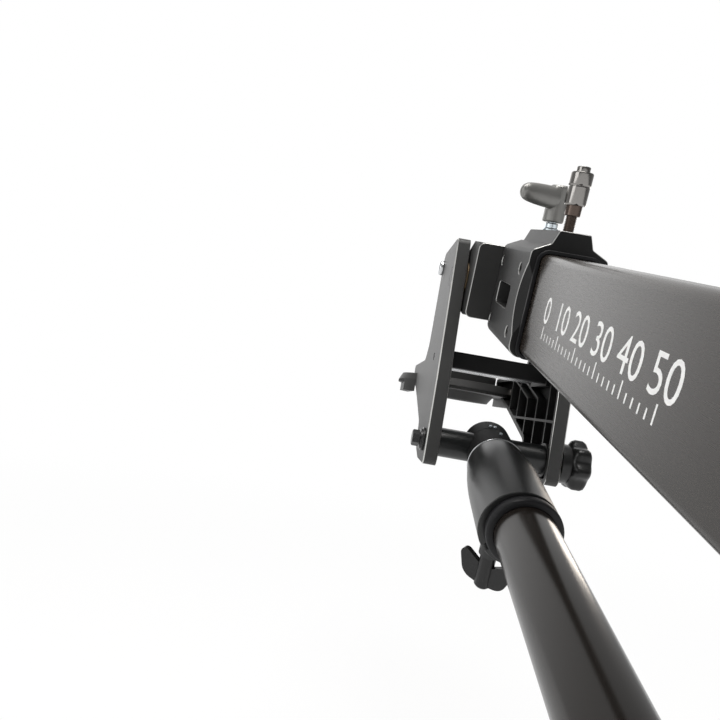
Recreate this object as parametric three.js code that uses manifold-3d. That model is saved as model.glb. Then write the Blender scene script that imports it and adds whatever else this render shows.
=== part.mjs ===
// Camera jib crane: a telescoping boom over a parallel lower arm, carried on a panning fulcrum.
// Millimetres, +Z up, +X towards the camera end, origin in the middle of the flat tripod face.
import * as THREE from 'three';
import { mergeVertices } from 'three/addons/utils/BufferGeometryUtils.js';
import Module from 'manifold-3d';

const wasm = await Module();
wasm.setup();

// Driving sizes
const play = 0.3; // gap kept between neighbouring pieces
const overrun = 2; // how far every cut runs past its material
const mergeDistance = 1e-4;
const lobeSteps = 4; // points along the edge of each lobe of a knob
const sides = { fine: 24, round: 14, small: 10, tiny: 8 };
const pitch = THREE.MathUtils.degToRad(18); // boom above level, as it stands

const linkage = { reach: 900, drop: 172.2, fulcrumHeight: 340, travel: 450 };
const boom = { height: 80, width: 43.4, corner: 6, wall: 3, rear: 430, noseInset: 118 };
const boomGap = { over: 4, across: 3.7 }; // between the two boom tubes, on each side
const innerBoom = {
  height: boom.height - 2 * boom.wall - 2 * boomGap.over,
  width: boom.width - 2 * boom.wall - 2 * boomGap.across,
  corner: 4, wall: 3, tail: 194, noseInset: 26,
};
const arm = { radius: 23.8, wall: 2.5, noseInset: 62, tailInset: 27 };
const innerArm = { radius: 19, wall: 2.5, tailGap: 120, noseInset: 31 };

// The head's two side plates, measured from the lower axle
const plate = {
  outerFace: 68.2, thickness: 13.8, web: 4.8, rim: 5, rib: 2.6,
  rear: -20, rearLean: 12, leanHeight: 63, foot: -23.5, topRear: 213, topFront: 221,
  front: 103, topSetback: 9, frontHeight: 110, armTop: 92, armRoot: 120,
  nose: 251, noseBack: 6, noseHeight: 16, elbow: 154, elbowHeight: 44,
  knee: 77, kneeHeight: 15, toe: 64, toeHeight: -14, heel: 32,
  ribPitch: 37, ribStart: 6, ribBend: 62, shelf: 40, ribHigh: 132, ribTop: 176,
  cornerRadius: 8, bendRadius: 20, footRadius: 14,
};
plate.innerFace = plate.outerFace - plate.thickness;

const topAxle = { radius: 10 };
const crossBar = { radius: 14.8, boltRadius: 6, washerRadius: 12, washer: 2.4, headRadius: 8.4, head: 7.5 };
const tieRod = { radius: 8, x: 92, z: 203, shank: 5, capRadius: 9, capHeight: 5.6 };
const beam = { rear: 25, web: 14, low: 80, high: 98, strip: 50, stripThick: 4, stripInset: 7,
  screwRadius: 4 };
const bowl = {
  x: 255, flangeRadius: 89, low: 52, flangeLow: 64, flangeHigh: 78, bevel: 10, bevelIn: 5, hubRadius: 53.4,
  seatRadius: 50, rim: 92, floor: 57, skirt: 8, lugDepth: 14,
};

const block = {
  rear: 44, top: boom.height / 2, bottom: innerBoom.height / 2, flange: 13, barrel: 25, halfWidth: 52.6,
  cheek: 16,
};
const bush = { wall: 2.4, flangeRadius: 17 };

const collar = {
  front: 48, rear: 151, bossFront: 58, side: 8.1, under: 3, over: 1.5, crownOver: 8.4, bossOver: 19,
  bossHalf: 12,
  bossFoot: 4, corner: 9, windowRear: 110, windowFront: 62, windowHigh: 9, windowLow: -11, windowRadius: 4,
};
collar.halfWidth = boom.width / 2 + collar.side;
collar.low = -boom.height / 2 - collar.under;
collar.shoulder = boom.height / 2 + collar.over;
collar.crown = boom.height / 2 + collar.crownOver;
collar.bossTop = boom.height / 2 + collar.bossOver;
const liner = { wall: 3.2, length: 8 };
const gasket = { thick: 3, proud: 3.4 };

// Both controls stand on the collar's boss, and their heights are measured from its top
const ratchet = {
  x: 79, hubRadius: 9, lift: 8, hubHeight: 31, armHeight: 28, armReach: 47, armTurnDegrees: 36,
  rootRadius: 7.4,
  tipRadius: 6, depthShare: 1.3, studRadius: 4, studHeight: 21, nutRadius: 6.6, nutHeight: 7,
};
ratchet.hubLow = collar.bossTop + ratchet.lift;
ratchet.hubHigh = collar.bossTop + ratchet.lift + ratchet.hubHeight;
ratchet.studTop = collar.bossTop + ratchet.studHeight;
const index = {
  x: 130, threadRadius: 4.4, threadHeight: 12.6, neckRadius: 6.1, neckHeight: 27, skirtHeight: 20.6,
  sleeveRadius: 8.2,
  sleeveHeight: 36.4, pinRadius: 2.8, bandRadius: 8.6, bandHeight: 45.8, capRadius: 5.2, capHeight: 49.9,
  press: 6,
  stops: 6, holeRadius: 3.4,
};
index.threadTop = collar.bossTop + index.threadHeight;
index.neckTop = collar.bossTop + index.neckHeight;
index.skirt = collar.bossTop + index.skirtHeight;
index.sleeveTop = collar.bossTop + index.sleeveHeight;
index.bandTop = collar.bossTop + index.bandHeight;
index.capTop = collar.bossTop + index.capHeight;

const sleeve = {
  front: 35, rear: 150, frontRadius: 27, radius: 31.8, leanAcross: 2.2, leanDown: 1.2, flare: 50,
  lipRadius: 29.4,
  lipBand: 9, slitStart: 95, slitWidth: 6, slitAngleDegrees: -14,
};
const wing = {
  x: 140, y: 17, top: -32.4, hubRadius: 6.4, hubHeight: 29, shankRadius: 4, span: 23, thick: 5, high: 23,
  footShare: 0.75, shoulderShare: 0.8, turnDegrees: 55,
};
const eye = { radius: 24.4, front: 23, rear: 33, spigot: 26, split: 0.4 };

const cheek = { gapHalf: 31, thickness: 12, baseHalf: 54, topRadius: 36, waistHalf: 36, holeMargin: 15 };
const fulcrumAxle = { radius: 10, headRadius: 19, head: 6 };
const armAxle = { radius: 8, headRadius: 14, head: 5, groove: 1.5 };
const rearEye = { radius: 23, halfWidth: 20, neckRadius: 20.9, spigot: 42 };
const spacer = { radius: 8, drop: 102 };

const base = { plateRadius: 75, plate: 12, boltCircle: 60, boltRadius: 4.6, bolts: 4, housingRadius: 50,
  housing: 40 };
const spindle = { radius: 14, nutRadius: 20, nutHeight: 7 };
const turn = { radius: 60, low: 40.6, high: 54 };
const floorPlate = { halfLength: 56, halfWidth: 52, thick: 14 };
const knob = { stemRadius: 4, neckRadius: 8, neck: 8, radius: 15, length: 20, lobes: 6,
  lobeDepthShare: 0.16 };
const lobed = { flangeRadius: 20, flange: 11.5, radius: 26, length: 18, lobes: 7, lobeDepthShare: 0.13,
  tail: 4 };
const level = { x: 40, radius: 13, height: 9, vialRadius: 9.5, vialDepth: 6 };
const brake = { hubRadius: 11, hubLength: 20, reach: 74, tipRadius: 6.5, rootRadius: 5.2, lean: 16 };

const weights = {
  barRadius: 12.4, barHalf: 118, inset: 48, flangeRadius: 30, flange: 7, discRadius: 115, disc: 25,
  rimWidth: 15, rimDepth: 3.5, hubRadius: 30, stopRadius: 22, stop: 26, stopKnobLift: 4,
  stopKnobRadius: 12.5,
};
const endCap = { thick: 5, spigot: 18, wall: 3 };

// Shapes and solids
const axes = { x: new THREE.Vector3(1, 0, 0), y: new THREE.Vector3(0, 1, 0),
  z: new THREE.Vector3(0, 0, 1) };

function solidOf(geometry) {
  const bare = geometry.index ? geometry.toNonIndexed() : geometry.clone();
  bare.deleteAttribute('normal');
  bare.deleteAttribute('uv');
  const merged = mergeVertices(bare, mergeDistance);
  return new wasm.Manifold(new wasm.Mesh({
    numProp: 3,
    vertProperties: merged.attributes.position.array,
    triVerts: new Uint32Array(merged.index.array),
  }));
}

function geometryOf(solid) {
  const mesh = solid.getMesh();
  const geometry = new THREE.BufferGeometry();
  geometry.setAttribute('position', new THREE.BufferAttribute(new Float32Array(mesh.vertProperties), 3));
  geometry.setIndex(new THREE.BufferAttribute(new Uint32Array(mesh.triVerts), 1));
  geometry.computeVertexNormals();
  return geometry;
}

const join = (first, ...rest) => geometryOf(rest.reduce((sum, next) => sum.add(solidOf(next)),
  solidOf(first)));
const cut = (first, ...tools) => geometryOf(tools.reduce((left, tool) => left.subtract(solidOf(tool)),
  solidOf(first)));
const common = (first, second) => geometryOf(solidOf(first).intersect(solidOf(second)));

// A box given by its limits along each axis.
function box([x0, x1], [y0, y1], [z0, z1]) {
  return new THREE.BoxGeometry(x1 - x0, y1 - y0, z1 - z0).translate((x0 + x1) / 2, (y0 + y1) / 2,
    (z0 + z1) / 2);
}

// Turns a geometry made along +Y so that it runs along the named axis.
function along(axis, geometry) {
  return geometry.applyQuaternion(new THREE.Quaternion().setFromUnitVectors(axes.y, axes[axis]));
}

// A round bar along an axis through the origin, from one place on that axis to another.
function rod(axis, radius, from, to, count = sides.round) {
  const bar = new THREE.CylinderGeometry(radius, radius, to - from, count).translate(0, (from + to) / 2, 0);
  return along(axis, bar);
}

// A round cutter whose flats, not its corners, lie at the radius, so that a bar of that radius clears it.
function bore(axis, radius, from, to, count = sides.round) {
  return rod(axis, radius / Math.cos(Math.PI / count), from, to, count);
}

// A turned piece: pairs of radius and place along the axis, in rising order round the section.
function turned(axis, profile, count = sides.round) {
  const points = profile.map(([radius, place]) => new THREE.Vector2(radius, place));
  return along(axis, new THREE.LatheGeometry(points, count));
}

// The same section on the other side of the middle plane.
const flipped = (profile) => profile.map(([radius, place]) => [radius, -place]).reverse();

// A flat outline pushed along an axis: drawn in (y, z) for x, in (x, z) for y and in (x, y) for z.
function slab(axis, shape, from, to, curveSegments = 3) {
  const solid = new THREE.ExtrudeGeometry(shape, { depth: to - from, bevelEnabled: false, curveSegments,
    steps: 1 });
  const frame = new THREE.Matrix4();
  if (axis === 'x') frame.makeBasis(axes.y, axes.z, axes.x).setPosition(from, 0, 0);
  if (axis === 'y') frame.makeBasis(axes.x, axes.z, axes.y.clone().negate()).setPosition(0, to, 0);
  if (axis === 'z') frame.setPosition(0, 0, from);
  return solid.applyMatrix4(frame);
}

// A closed outline through corners [across, up, radius], each rounded by its own radius.
function outline(corners, target = new THREE.Shape()) {
  const count = corners.length;
  corners.forEach(([x, y, radius = 0], i) => {
    const here = new THREE.Vector2(x, y);
    const before = new THREE.Vector2(...corners[(i + count - 1) % count].slice(0, 2)).sub(here);
    const after = new THREE.Vector2(...corners[(i + 1) % count].slice(0, 2)).sub(here);
    const turn = Math.abs(before.angleTo(after));
    const wish = radius / Math.tan(turn / 2);
    const reach = Math.min(wish, before.length() / 2, after.length() / 2);
    const enter = here.clone().addScaledVector(before.normalize(), reach);
    const leave = here.clone().addScaledVector(after.normalize(), reach);
    if (i === 0) target.moveTo(enter.x, enter.y);
    else target.lineTo(enter.x, enter.y);
    if (reach > 0) target.quadraticCurveTo(here.x, here.y, leave.x, leave.y);
  });
  target.closePath();
  return target;
}

function roundedBox(width, height, radius) {
  const [w, h] = [width / 2, height / 2];
  return outline([[-w, -h, radius], [w, -h, radius], [w, h, radius], [-w, h, radius]]);
}

// A rectangular tube along X.
function boxTube({ width, height, corner, wall }, from, to) {
  const outside = slab('x', roundedBox(width, height, corner), from, to);
  const hollow = roundedBox(width - 2 * wall, height - 2 * wall, corner - wall);
  return cut(outside, slab('x', hollow, from - overrun, to + overrun));
}

function pipe(axis, outer, inner, from, to, count = sides.round) {
  return turned(axis, [[inner, from], [outer, from], [outer, to], [inner, to], [inner, from]], count);
}

const moved = (geometry, x, y, z) => geometry.clone().translate(x, y, z);

// A knob outline with soft lobes, drawn about its own axis.
function lobedShape(radius, lobes, depthShare) {
  const points = [];
  const steps = lobes * lobeSteps;
  for (let i = 0; i < steps; i += 1) {
    const angle = (i / steps) * Math.PI * 2;
    const reach = radius * (1 - depthShare * (1 - Math.cos(lobes * angle)) / 2);
    points.push(new THREE.Vector2(reach * Math.cos(angle), reach * Math.sin(angle)));
  }
  return new THREE.Shape(points);
}

// Scene graph
const crane = new THREE.Group();
const frames = {};
function frameAt(name, parent, x, y, z, tilt = 0) {
  const group = new THREE.Group();
  group.position.set(x, y, z);
  group.rotation.y = -tilt;
  parent.add(group);
  frames[name] = group;
}
const lowerHeight = linkage.fulcrumHeight - linkage.drop;
const advance = linkage.reach * Math.cos(pitch);
const rise = linkage.reach * Math.sin(pitch);
frameAt('base', crane, 0, 0, 0);
frameAt('boom', crane, 0, 0, linkage.fulcrumHeight, pitch);
frameAt('boomFront', frames.boom, linkage.reach, 0, 0);
frameAt('arm', crane, 0, 0, lowerHeight, pitch);
frameAt('armFront', frames.arm, linkage.reach, 0, 0);
frameAt('head', crane, advance, 0, lowerHeight + rise);
frameAt('weightBar', frames.boom, -boom.rear + weights.inset, 0, 0);

const finishes = {
  anodised: { color: 0x2b2a29, roughness: 0.42, metalness: 0.6 },
  casting: { color: 0x353535, roughness: 0.5, metalness: 0.5 },
  plastic: { color: 0x151515, roughness: 0.5, metalness: 0 },
  rubber: { color: 0x0d0d0d, roughness: 0.8, metalness: 0 },
  steel: { color: 0xb9bcc0, roughness: 0.3, metalness: 1 },
  blackSteel: { color: 0x1f1f20, roughness: 0.35, metalness: 0.9 },
  bronze: { color: 0x9a7a45, roughness: 0.4, metalness: 0.9 },
  graphite: { color: 0x4a4b4d, roughness: 0.65, metalness: 0.4 },
  iron: { color: 0x2f3133, roughness: 0.6, metalness: 0.4 },
  vial: { color: 0xb6d957, roughness: 0.1, metalness: 0 },
};

function add(frame, name, finish, geometry) {
  const mesh = new THREE.Mesh(geometry, new THREE.MeshStandardMaterial(finishes[finish]));
  mesh.name = name;
  frames[frame].add(mesh);
}

// Base and pan bearing
function makeBase() {
  const bolts = Array.from({ length: base.bolts }, (unused, i) => {
    const angle = ((i + 1 / 2) / base.bolts) * Math.PI * 2;
    const hole = bore('z', base.boltRadius, -overrun, base.plate + overrun, sides.tiny);
    return moved(hole, base.boltCircle * Math.cos(angle), base.boltCircle * Math.sin(angle), 0);
  });
  const disc = rod('z', base.plateRadius, 0, base.plate, sides.fine);
  add('base', 'mount_plate', 'anodised', cut(disc, ...bolts));
  const housing = pipe('z', base.housingRadius, spindle.radius + play, base.plate, base.housing,
    sides.fine);
  add('base', 'pan_housing', 'casting', housing);
  const seat = floorPlate.thick + turn.high;
  add('base', 'pan_spindle', 'steel', turned('z', [
    [0, base.plate], [spindle.radius, base.plate], [spindle.radius, seat + play],
    [spindle.nutRadius, seat + play], [spindle.nutRadius, seat + play + spindle.nutHeight],
    [0, seat + play + spindle.nutHeight],
  ], sides.small));
}

// Turning fulcrum
function cheekShape() {
  const bottom = turn.high + floorPlate.thick;
  const top = linkage.fulcrumHeight + cheek.topRadius;
  const half = cheek.topRadius;
  const shape = outline([
    [-cheek.baseHalf, bottom, cheek.thickness / 2], [cheek.baseHalf, bottom, cheek.thickness / 2],
    [cheek.waistHalf, lowerHeight, cheek.topRadius * 2], [half, linkage.fulcrumHeight, half],
    [half, top, half], [-half, top, half],
    [-half, linkage.fulcrumHeight, half], [-cheek.waistHalf, lowerHeight, cheek.topRadius * 2],
  ]);
  const low = lowerHeight + armAxle.radius + cheek.holeMargin;
  const high = linkage.fulcrumHeight - fulcrumAxle.radius - cheek.holeMargin;
  const middle = linkage.fulcrumHeight - spacer.drop;
  const inset = cheek.waistHalf - cheek.holeMargin;
  const ring = spacer.radius + cheek.thickness / 2;
  for (const [from, to] of [[low, middle - ring], [middle + ring, high]]) {
    const corner = cheek.thickness / 2;
    const window = [[-inset, from, corner], [inset, from, corner], [inset, to, corner],
      [-inset, to, corner]];
    shape.holes.push(outline(window, new THREE.Path()));
  }
  return shape;
}

function makeFulcrum() {
  const spindleHole = bore('z', spindle.radius + play, 0, lowerHeight, sides.small);
  const disc = rod('z', turn.radius, turn.low, turn.high, sides.fine);
  const brakeHole = moved(bore('y', knob.stemRadius + play, -turn.radius - overrun, -turn.radius / 2,
    sides.tiny),
    0, 0, (turn.low + turn.high) / 2);
  add('base', 'turntable', 'anodised', cut(disc, spindleHole, brakeHole));
  const floorShape = roundedBox(2 * floorPlate.halfLength, 2 * floorPlate.halfWidth, floorPlate.thick);
  const floorTop = turn.high + floorPlate.thick;
  const yokeFloor = slab('z', floorShape, turn.high, floorTop);
  add('base', 'yoke_floor', 'casting', cut(yokeFloor, spindleHole));
  for (const [name, side] of [['left', 1], ['right', -1]]) {
    const [inner, outer] = [cheek.gapHalf, cheek.gapHalf + cheek.thickness];
    const limits = side > 0 ? [inner, outer] : [-outer, -inner];
    const [from, to] = [limits[0] - overrun, limits[1] + overrun];
    const panel = slab('y', cheekShape(), ...limits, 6);
    const holes = [
      moved(bore('y', fulcrumAxle.radius + play, from, to, sides.small), 0, 0, linkage.fulcrumHeight),
      moved(bore('y', armAxle.radius + play, from, to, sides.small), 0, 0, lowerHeight),
      moved(bore('y', spacer.radius / 2 + play, from, to, sides.tiny), 0, 0,
        linkage.fulcrumHeight - spacer.drop),
    ];
    add('base', `cheek_${name}`, 'casting', cut(panel, ...holes));
  }
  const spacerEnd = cheek.gapHalf + cheek.thickness - play;
  const pin = spacer.radius / 2;
  add('base', 'yoke_spacer', 'blackSteel', moved(turned('y', [
    [0, -spacerEnd], [pin, -spacerEnd], [pin, -cheek.gapHalf + play],
    [spacer.radius, -cheek.gapHalf + play],
    [spacer.radius, cheek.gapHalf - play], [pin, cheek.gapHalf - play], [pin, spacerEnd], [0, spacerEnd],
  ], sides.small), 0, 0, linkage.fulcrumHeight - spacer.drop));

  const outerFace = cheek.gapHalf + cheek.thickness;
  const stud = (axle, end) => turned('y', [
    [0, -outerFace - play - axle.head], [axle.headRadius - axle.head / 2, -outerFace - play - axle.head],
    [axle.headRadius, -outerFace - play - axle.head / 2], [axle.headRadius, -outerFace - play],
    [axle.radius, -outerFace - play], [axle.radius, end], [0, end],
  ], sides.round);
  add('base', 'fulcrum_axle', 'steel',
    moved(stud(fulcrumAxle, outerFace + brake.hubLength - brake.hubRadius / 2), 0, 0,
      linkage.fulcrumHeight));
  const groove = pipe('y', armAxle.radius * 2, armAxle.radius - armAxle.groove, outerFace + armAxle.groove,
    outerFace + 2 * armAxle.groove, sides.round);
  add('base', 'arm_axle', 'steel', moved(cut(stud(armAxle, outerFace + armAxle.head), groove), 0, 0,
    lowerHeight));

  const cup = turned('z', [
    [0, 0], [level.radius, 0], [level.radius, level.height], [level.vialRadius + play, level.height],
    [level.vialRadius + play, level.height - level.vialDepth], [0, level.height - level.vialDepth],
  ], sides.round);
  add('base', 'level_cup', 'blackSteel', moved(cup, level.x, 0, floorTop));
  const vialFloor = floorTop + level.height - level.vialDepth;
  const vial = turned('z', [
    [0, play], [level.vialRadius, play], [level.vialRadius, level.vialDepth - play],
    [level.vialRadius / 2, level.vialDepth + play], [0, level.vialDepth + play],
  ], sides.round);
  add('base', 'level_vial', 'vial', moved(vial, level.x, 0, vialFloor));

  const brakeKnob = join(
    rod('y', knob.stemRadius, -turn.radius - play - knob.neck - overrun, -turn.radius / 2 - overrun,
      sides.tiny),
    rod('y', knob.neckRadius, -turn.radius - play - knob.neck, -turn.radius - play, sides.small),
    slab('y', lobedShape(knob.radius, knob.lobes, knob.lobeDepthShare),
      -turn.radius - play - knob.neck - knob.length, -turn.radius - play - knob.neck),
  );
  add('base', 'pan_brake_knob', 'plastic', moved(brakeKnob, 0, 0, (turn.low + turn.high) / 2));

  const hub = turned('y', [
    [fulcrumAxle.radius + play, play], [brake.hubRadius + fulcrumAxle.radius / 2, play],
    [brake.hubRadius + fulcrumAxle.radius / 2, brake.hubLength - overrun],
    [brake.hubRadius, brake.hubLength], [0, brake.hubLength],
    [0, brake.hubLength - overrun], [fulcrumAxle.radius + play, brake.hubLength - overrun],
    [fulcrumAxle.radius + play, play],
  ], sides.round);
  const handle = taperedBar(brake.reach, brake.rootRadius, brake.tipRadius)
    .rotateZ(-Math.asin(brake.lean / brake.reach)).translate(0, brake.hubLength / 2, 0);
  const clear = bore('y', fulcrumAxle.radius + play, 0, brake.hubLength - overrun, sides.round);
  const lever = cut(join(hub, handle.rotateY(Math.PI / 2)), clear);
  add('base', 'tilt_brake_lever', 'graphite', moved(lever, 0, outerFace, linkage.fulcrumHeight));
}

// A round bar along -X that tapers from its root to a ball end, centred on its root.
function taperedBar(reach, rootRadius, tipRadius) {
  const profile = [[0, 0], [rootRadius, 0], [(rootRadius + tipRadius) / 2, reach / 2],
    [tipRadius, reach - tipRadius]];
  for (let i = 1; i <= 4; i += 1) {
    const angle = (i / 4) * (Math.PI / 2);
    profile.push([i === 4 ? 0 : tipRadius * Math.cos(angle),
      reach - tipRadius + tipRadius * Math.sin(angle)]);
  }
  return along('x', new THREE.LatheGeometry(profile.map(([r, a]) => new THREE.Vector2(r, a)), sides.tiny))
    .rotateZ(Math.PI);
}

// Boom, its collar and what is clamped to it
function makeBoom() {
  const from = -boom.rear;
  const to = linkage.reach - boom.noseInset;
  const bushRadius = fulcrumAxle.radius + play + bush.wall;
  const half = boom.width;
  const indexHole = moved(bore('z', index.pinRadius + play, 0, boom.height, sides.tiny),
    linkage.reach - index.x, 0, 0);
  add('boom', 'boom_tube', 'anodised', cut(
    boxTube(boom, from, to),
    bore('y', bushRadius + play, -half, half),
    moved(bore('y', weights.barRadius + play, -half, half), -boom.rear + weights.inset, 0, 0),
    indexHole,
  ));
  const bushEnd = cheek.gapHalf - play;
  add('boom', 'tilt_bush', 'bronze', pipe('y', bushRadius, bushRadius - bush.wall, -bushEnd, bushEnd,
    sides.round));

  const inside = { width: boom.width - 2 * boom.wall - 2 * play,
    height: boom.height - 2 * boom.wall - 2 * play };
  const plug = slab('x', roundedBox(inside.width, inside.height, boom.corner - boom.wall),
    from - play - endCap.thick / 2, from + endCap.spigot);
  const face = slab('x', roundedBox(boom.width, boom.height, boom.corner), from - play - endCap.thick,
    from - play);
  const recess = slab('x', roundedBox(inside.width - 2 * endCap.wall, inside.height - 2 * endCap.wall,
    endCap.wall / 2),
    from + endCap.wall, from + endCap.spigot + overrun);
  add('boom', 'boom_end_cap', 'plastic', cut(join(plug, face), recess));

  makeCollar();
  makeRatchet();
  makeIndexPin();
}

function makeCollar() {
  const [front, rear] = [linkage.reach - collar.front, linkage.reach - collar.rear];
  const body = outline([
    [-collar.halfWidth, collar.low, collar.corner], [collar.halfWidth, collar.low, collar.corner],
    [collar.halfWidth, collar.shoulder, collar.corner / 2],
    [collar.bossHalf + collar.bossFoot, collar.crown, collar.bossFoot / 2],
    [collar.bossHalf, collar.bossTop, collar.corner / 6], [-collar.bossHalf, collar.bossTop,
      collar.corner / 6],
    [-collar.bossHalf - collar.bossFoot, collar.crown, collar.bossFoot / 2],
    [-collar.halfWidth, collar.shoulder, collar.corner / 2],
  ]);
  const seat = roundedBox(boom.width + 2 * play, boom.height + 2 * play, boom.corner);
  const guide = roundedBox(innerBoom.width + 2 * liner.wall + 4 * play,
    innerBoom.height + 2 * liner.wall + 4 * play,
    innerBoom.corner + liner.wall);
  const tubeEnd = linkage.reach - boom.noseInset;
  const windowShape = outline([
    [linkage.reach - collar.windowRear, collar.windowLow, collar.windowRadius],
    [linkage.reach - collar.windowFront, collar.windowLow, collar.windowRadius],
    [linkage.reach - collar.windowFront, collar.windowHigh, collar.windowRadius],
    [linkage.reach - collar.windowRear, collar.windowHigh, collar.windowRadius],
  ]);
  const studHole = moved(bore('z', ratchet.studRadius + play, 0, collar.bossTop + overrun, sides.tiny),
    linkage.reach - ratchet.x, 0, 0);
  const threadHole = moved(bore('z', index.threadRadius + play, 0, collar.bossTop + overrun, sides.small),
    linkage.reach - index.x, 0, 0);
  const half = collar.halfWidth;
  const step = box([linkage.reach - collar.bossFront, front + overrun], [-half, half],
    [collar.crown, collar.bossTop + overrun]);
  add('boom', 'boom_collar', 'casting', cut(
    slab('x', body, rear, front), step,
    slab('x', seat, rear - overrun, tubeEnd + play),
    slab('x', guide, rear - overrun, front + overrun),
    slab('y', windowShape, -half - overrun, half + overrun),
    studHole, threadHole,
  ));
  const proud = gasket.proud;
  const lip = slab('x', roundedBox(boom.width + 2 * proud, boom.height + 2 * proud, boom.corner + proud),
    rear - play - gasket.thick, rear - play);
  const lipHole = slab('x', seat, rear - collar.front, rear + overrun);
  add('boom', 'collar_gasket', 'rubber', cut(lip, lipHole));
  const [guideWidth, guideHeight] = [innerBoom.width + 2 * play, innerBoom.height + 2 * play];
  for (const [name, start] of [['front', front - play - liner.length], ['rear', tubeEnd + 2 * play]]) {
    const ring = slab('x', roundedBox(guideWidth + 2 * liner.wall, guideHeight + 2 * liner.wall,
      innerBoom.corner + liner.wall), start, start + liner.length);
    const hole = slab('x', roundedBox(guideWidth, guideHeight, innerBoom.corner), start - overrun,
      start + liner.length + overrun);
    add('boom', `slide_liner_${name}`, 'plastic', cut(ring, hole));
  }
}

function makeRatchet() {
  const studLow = innerBoom.height / 2 + liner.wall + 3 * play;
  const nutLow = collar.bossTop + play;
  add('boom', 'ratchet_stud', 'steel', moved(turned('z', [
    [0, studLow], [ratchet.studRadius, studLow], [ratchet.studRadius, nutLow], [ratchet.nutRadius, nutLow],
    [ratchet.nutRadius, nutLow + ratchet.nutHeight / 3], [ratchet.nutRadius - overrun,
      nutLow + ratchet.nutHeight],
    [ratchet.studRadius, nutLow + ratchet.nutHeight], [ratchet.studRadius, ratchet.studTop],
    [0, ratchet.studTop],
  ], sides.small), linkage.reach - ratchet.x, 0, 0));
  const hub = turned('z', [
    [0, ratchet.hubLow], [ratchet.hubRadius, ratchet.hubLow], [ratchet.hubRadius,
      ratchet.hubHigh - overrun / 2],
    [ratchet.hubRadius - overrun / 2, ratchet.hubHigh], [0, ratchet.hubHigh],
  ], sides.small);
  const handle = taperedBar(ratchet.armReach, ratchet.rootRadius, ratchet.tipRadius).scale(1, 1,
    ratchet.depthShare)
    .rotateZ(-THREE.MathUtils.degToRad(ratchet.armTurnDegrees)).translate(0, 0,
      collar.bossTop + ratchet.armHeight);
  const socket = bore('z', ratchet.studRadius + play, 0, ratchet.studTop + play, sides.small);
  add('boom', 'ratchet_lever', 'graphite', moved(cut(join(hub, handle), socket), linkage.reach - ratchet.x,
    0, 0));
}

function makeIndexPin() {
  const threadLow = boom.height / 2 + play;
  const body = turned('z', [
    [0, threadLow], [index.threadRadius, threadLow], [index.threadRadius, index.threadTop],
    [index.neckRadius, index.threadTop], [index.neckRadius, index.neckTop], [0, index.neckTop],
  ], sides.round);
  const pinHole = bore('z', index.pinRadius + play, 0, index.capTop, sides.small);
  add('boom', 'index_body', 'blackSteel', moved(cut(body, pinHole), linkage.reach - index.x, 0, 0));
  const tip = innerBoom.height / 2 + play;
  const roof = index.neckTop + index.press + play;
  const sleeveWall = index.neckRadius + play;
  add('boom', 'index_pin', 'blackSteel', moved(turned('z', [
    [0, tip], [index.pinRadius - play, tip], [index.pinRadius, tip + overrun], [index.pinRadius, roof],
    [sleeveWall, roof], [sleeveWall, index.skirt], [index.sleeveRadius, index.skirt],
    [index.sleeveRadius, index.sleeveTop], [index.bandRadius, index.sleeveTop],
    [index.bandRadius, index.bandTop],
    [index.capRadius, index.bandTop], [index.capRadius, index.capTop], [0, index.capTop],
  ], sides.round), linkage.reach - index.x, 0, 0));
}

// Counterweights at the boom's rear end
function makeWeights() {
  add('weightBar', 'weight_bar', 'steel', rod('y', weights.barRadius, -weights.barHalf, weights.barHalf,
    sides.round));
  const inner = weights.barRadius + play;
  const flangeStart = boom.width / 2 + play;
  const discStart = flangeStart + weights.flange + play;
  const stopStart = discStart + weights.disc + play;
  for (const [name, side] of [['left', 1], ['right', -1]]) {
    const turnedSide = (profile, count) => turned('y', side > 0 ? profile : flipped(profile), count);
    add('weightBar', `weight_flange_${name}`, 'blackSteel', turnedSide([
      [inner, flangeStart], [weights.flangeRadius, flangeStart],
      [weights.flangeRadius, flangeStart + weights.flange],
      [inner, flangeStart + weights.flange], [inner, flangeStart],
    ], sides.round));
    const edge = weights.discRadius - weights.rimWidth;
    const [near, far] = [discStart, discStart + weights.disc];
    add('weightBar', `counterweight_${name}`, 'iron', turnedSide([
      [inner, near], [weights.hubRadius, near], [weights.hubRadius, near + weights.rimDepth],
      [edge, near + weights.rimDepth], [edge, near], [weights.discRadius, near], [weights.discRadius, far],
      [edge, far], [edge, far - weights.rimDepth], [weights.hubRadius, far - weights.rimDepth],
      [weights.hubRadius, far], [inner, far], [inner, near],
    ], sides.fine));
    const stopRing = turnedSide([
      [inner, stopStart], [weights.stopRadius, stopStart], [weights.stopRadius, stopStart + weights.stop],
      [inner, stopStart + weights.stop], [inner, stopStart],
    ], sides.round);
    const middle = side * (stopStart + weights.stop / 2);
    const screwHole = bore('z', knob.stemRadius + play, 0, weights.stopRadius + overrun, sides.tiny);
    add('weightBar', `weight_stop_${name}`, 'casting', cut(stopRing, moved(screwHole, 0, middle, 0)));
    const knobLow = weights.stopRadius + weights.stopKnobLift;
    const screw = join(
      rod('z', knob.stemRadius, weights.barRadius + 2 * play, knobLow + overrun, sides.tiny),
      slab('z', lobedShape(weights.stopKnobRadius, knob.lobes, knob.lobeDepthShare), knobLow,
        knobLow + knob.length),
    );
    add('weightBar', `stop_knob_${name}`, 'plastic', moved(screw, 0, middle, 0));
  }
}

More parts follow.
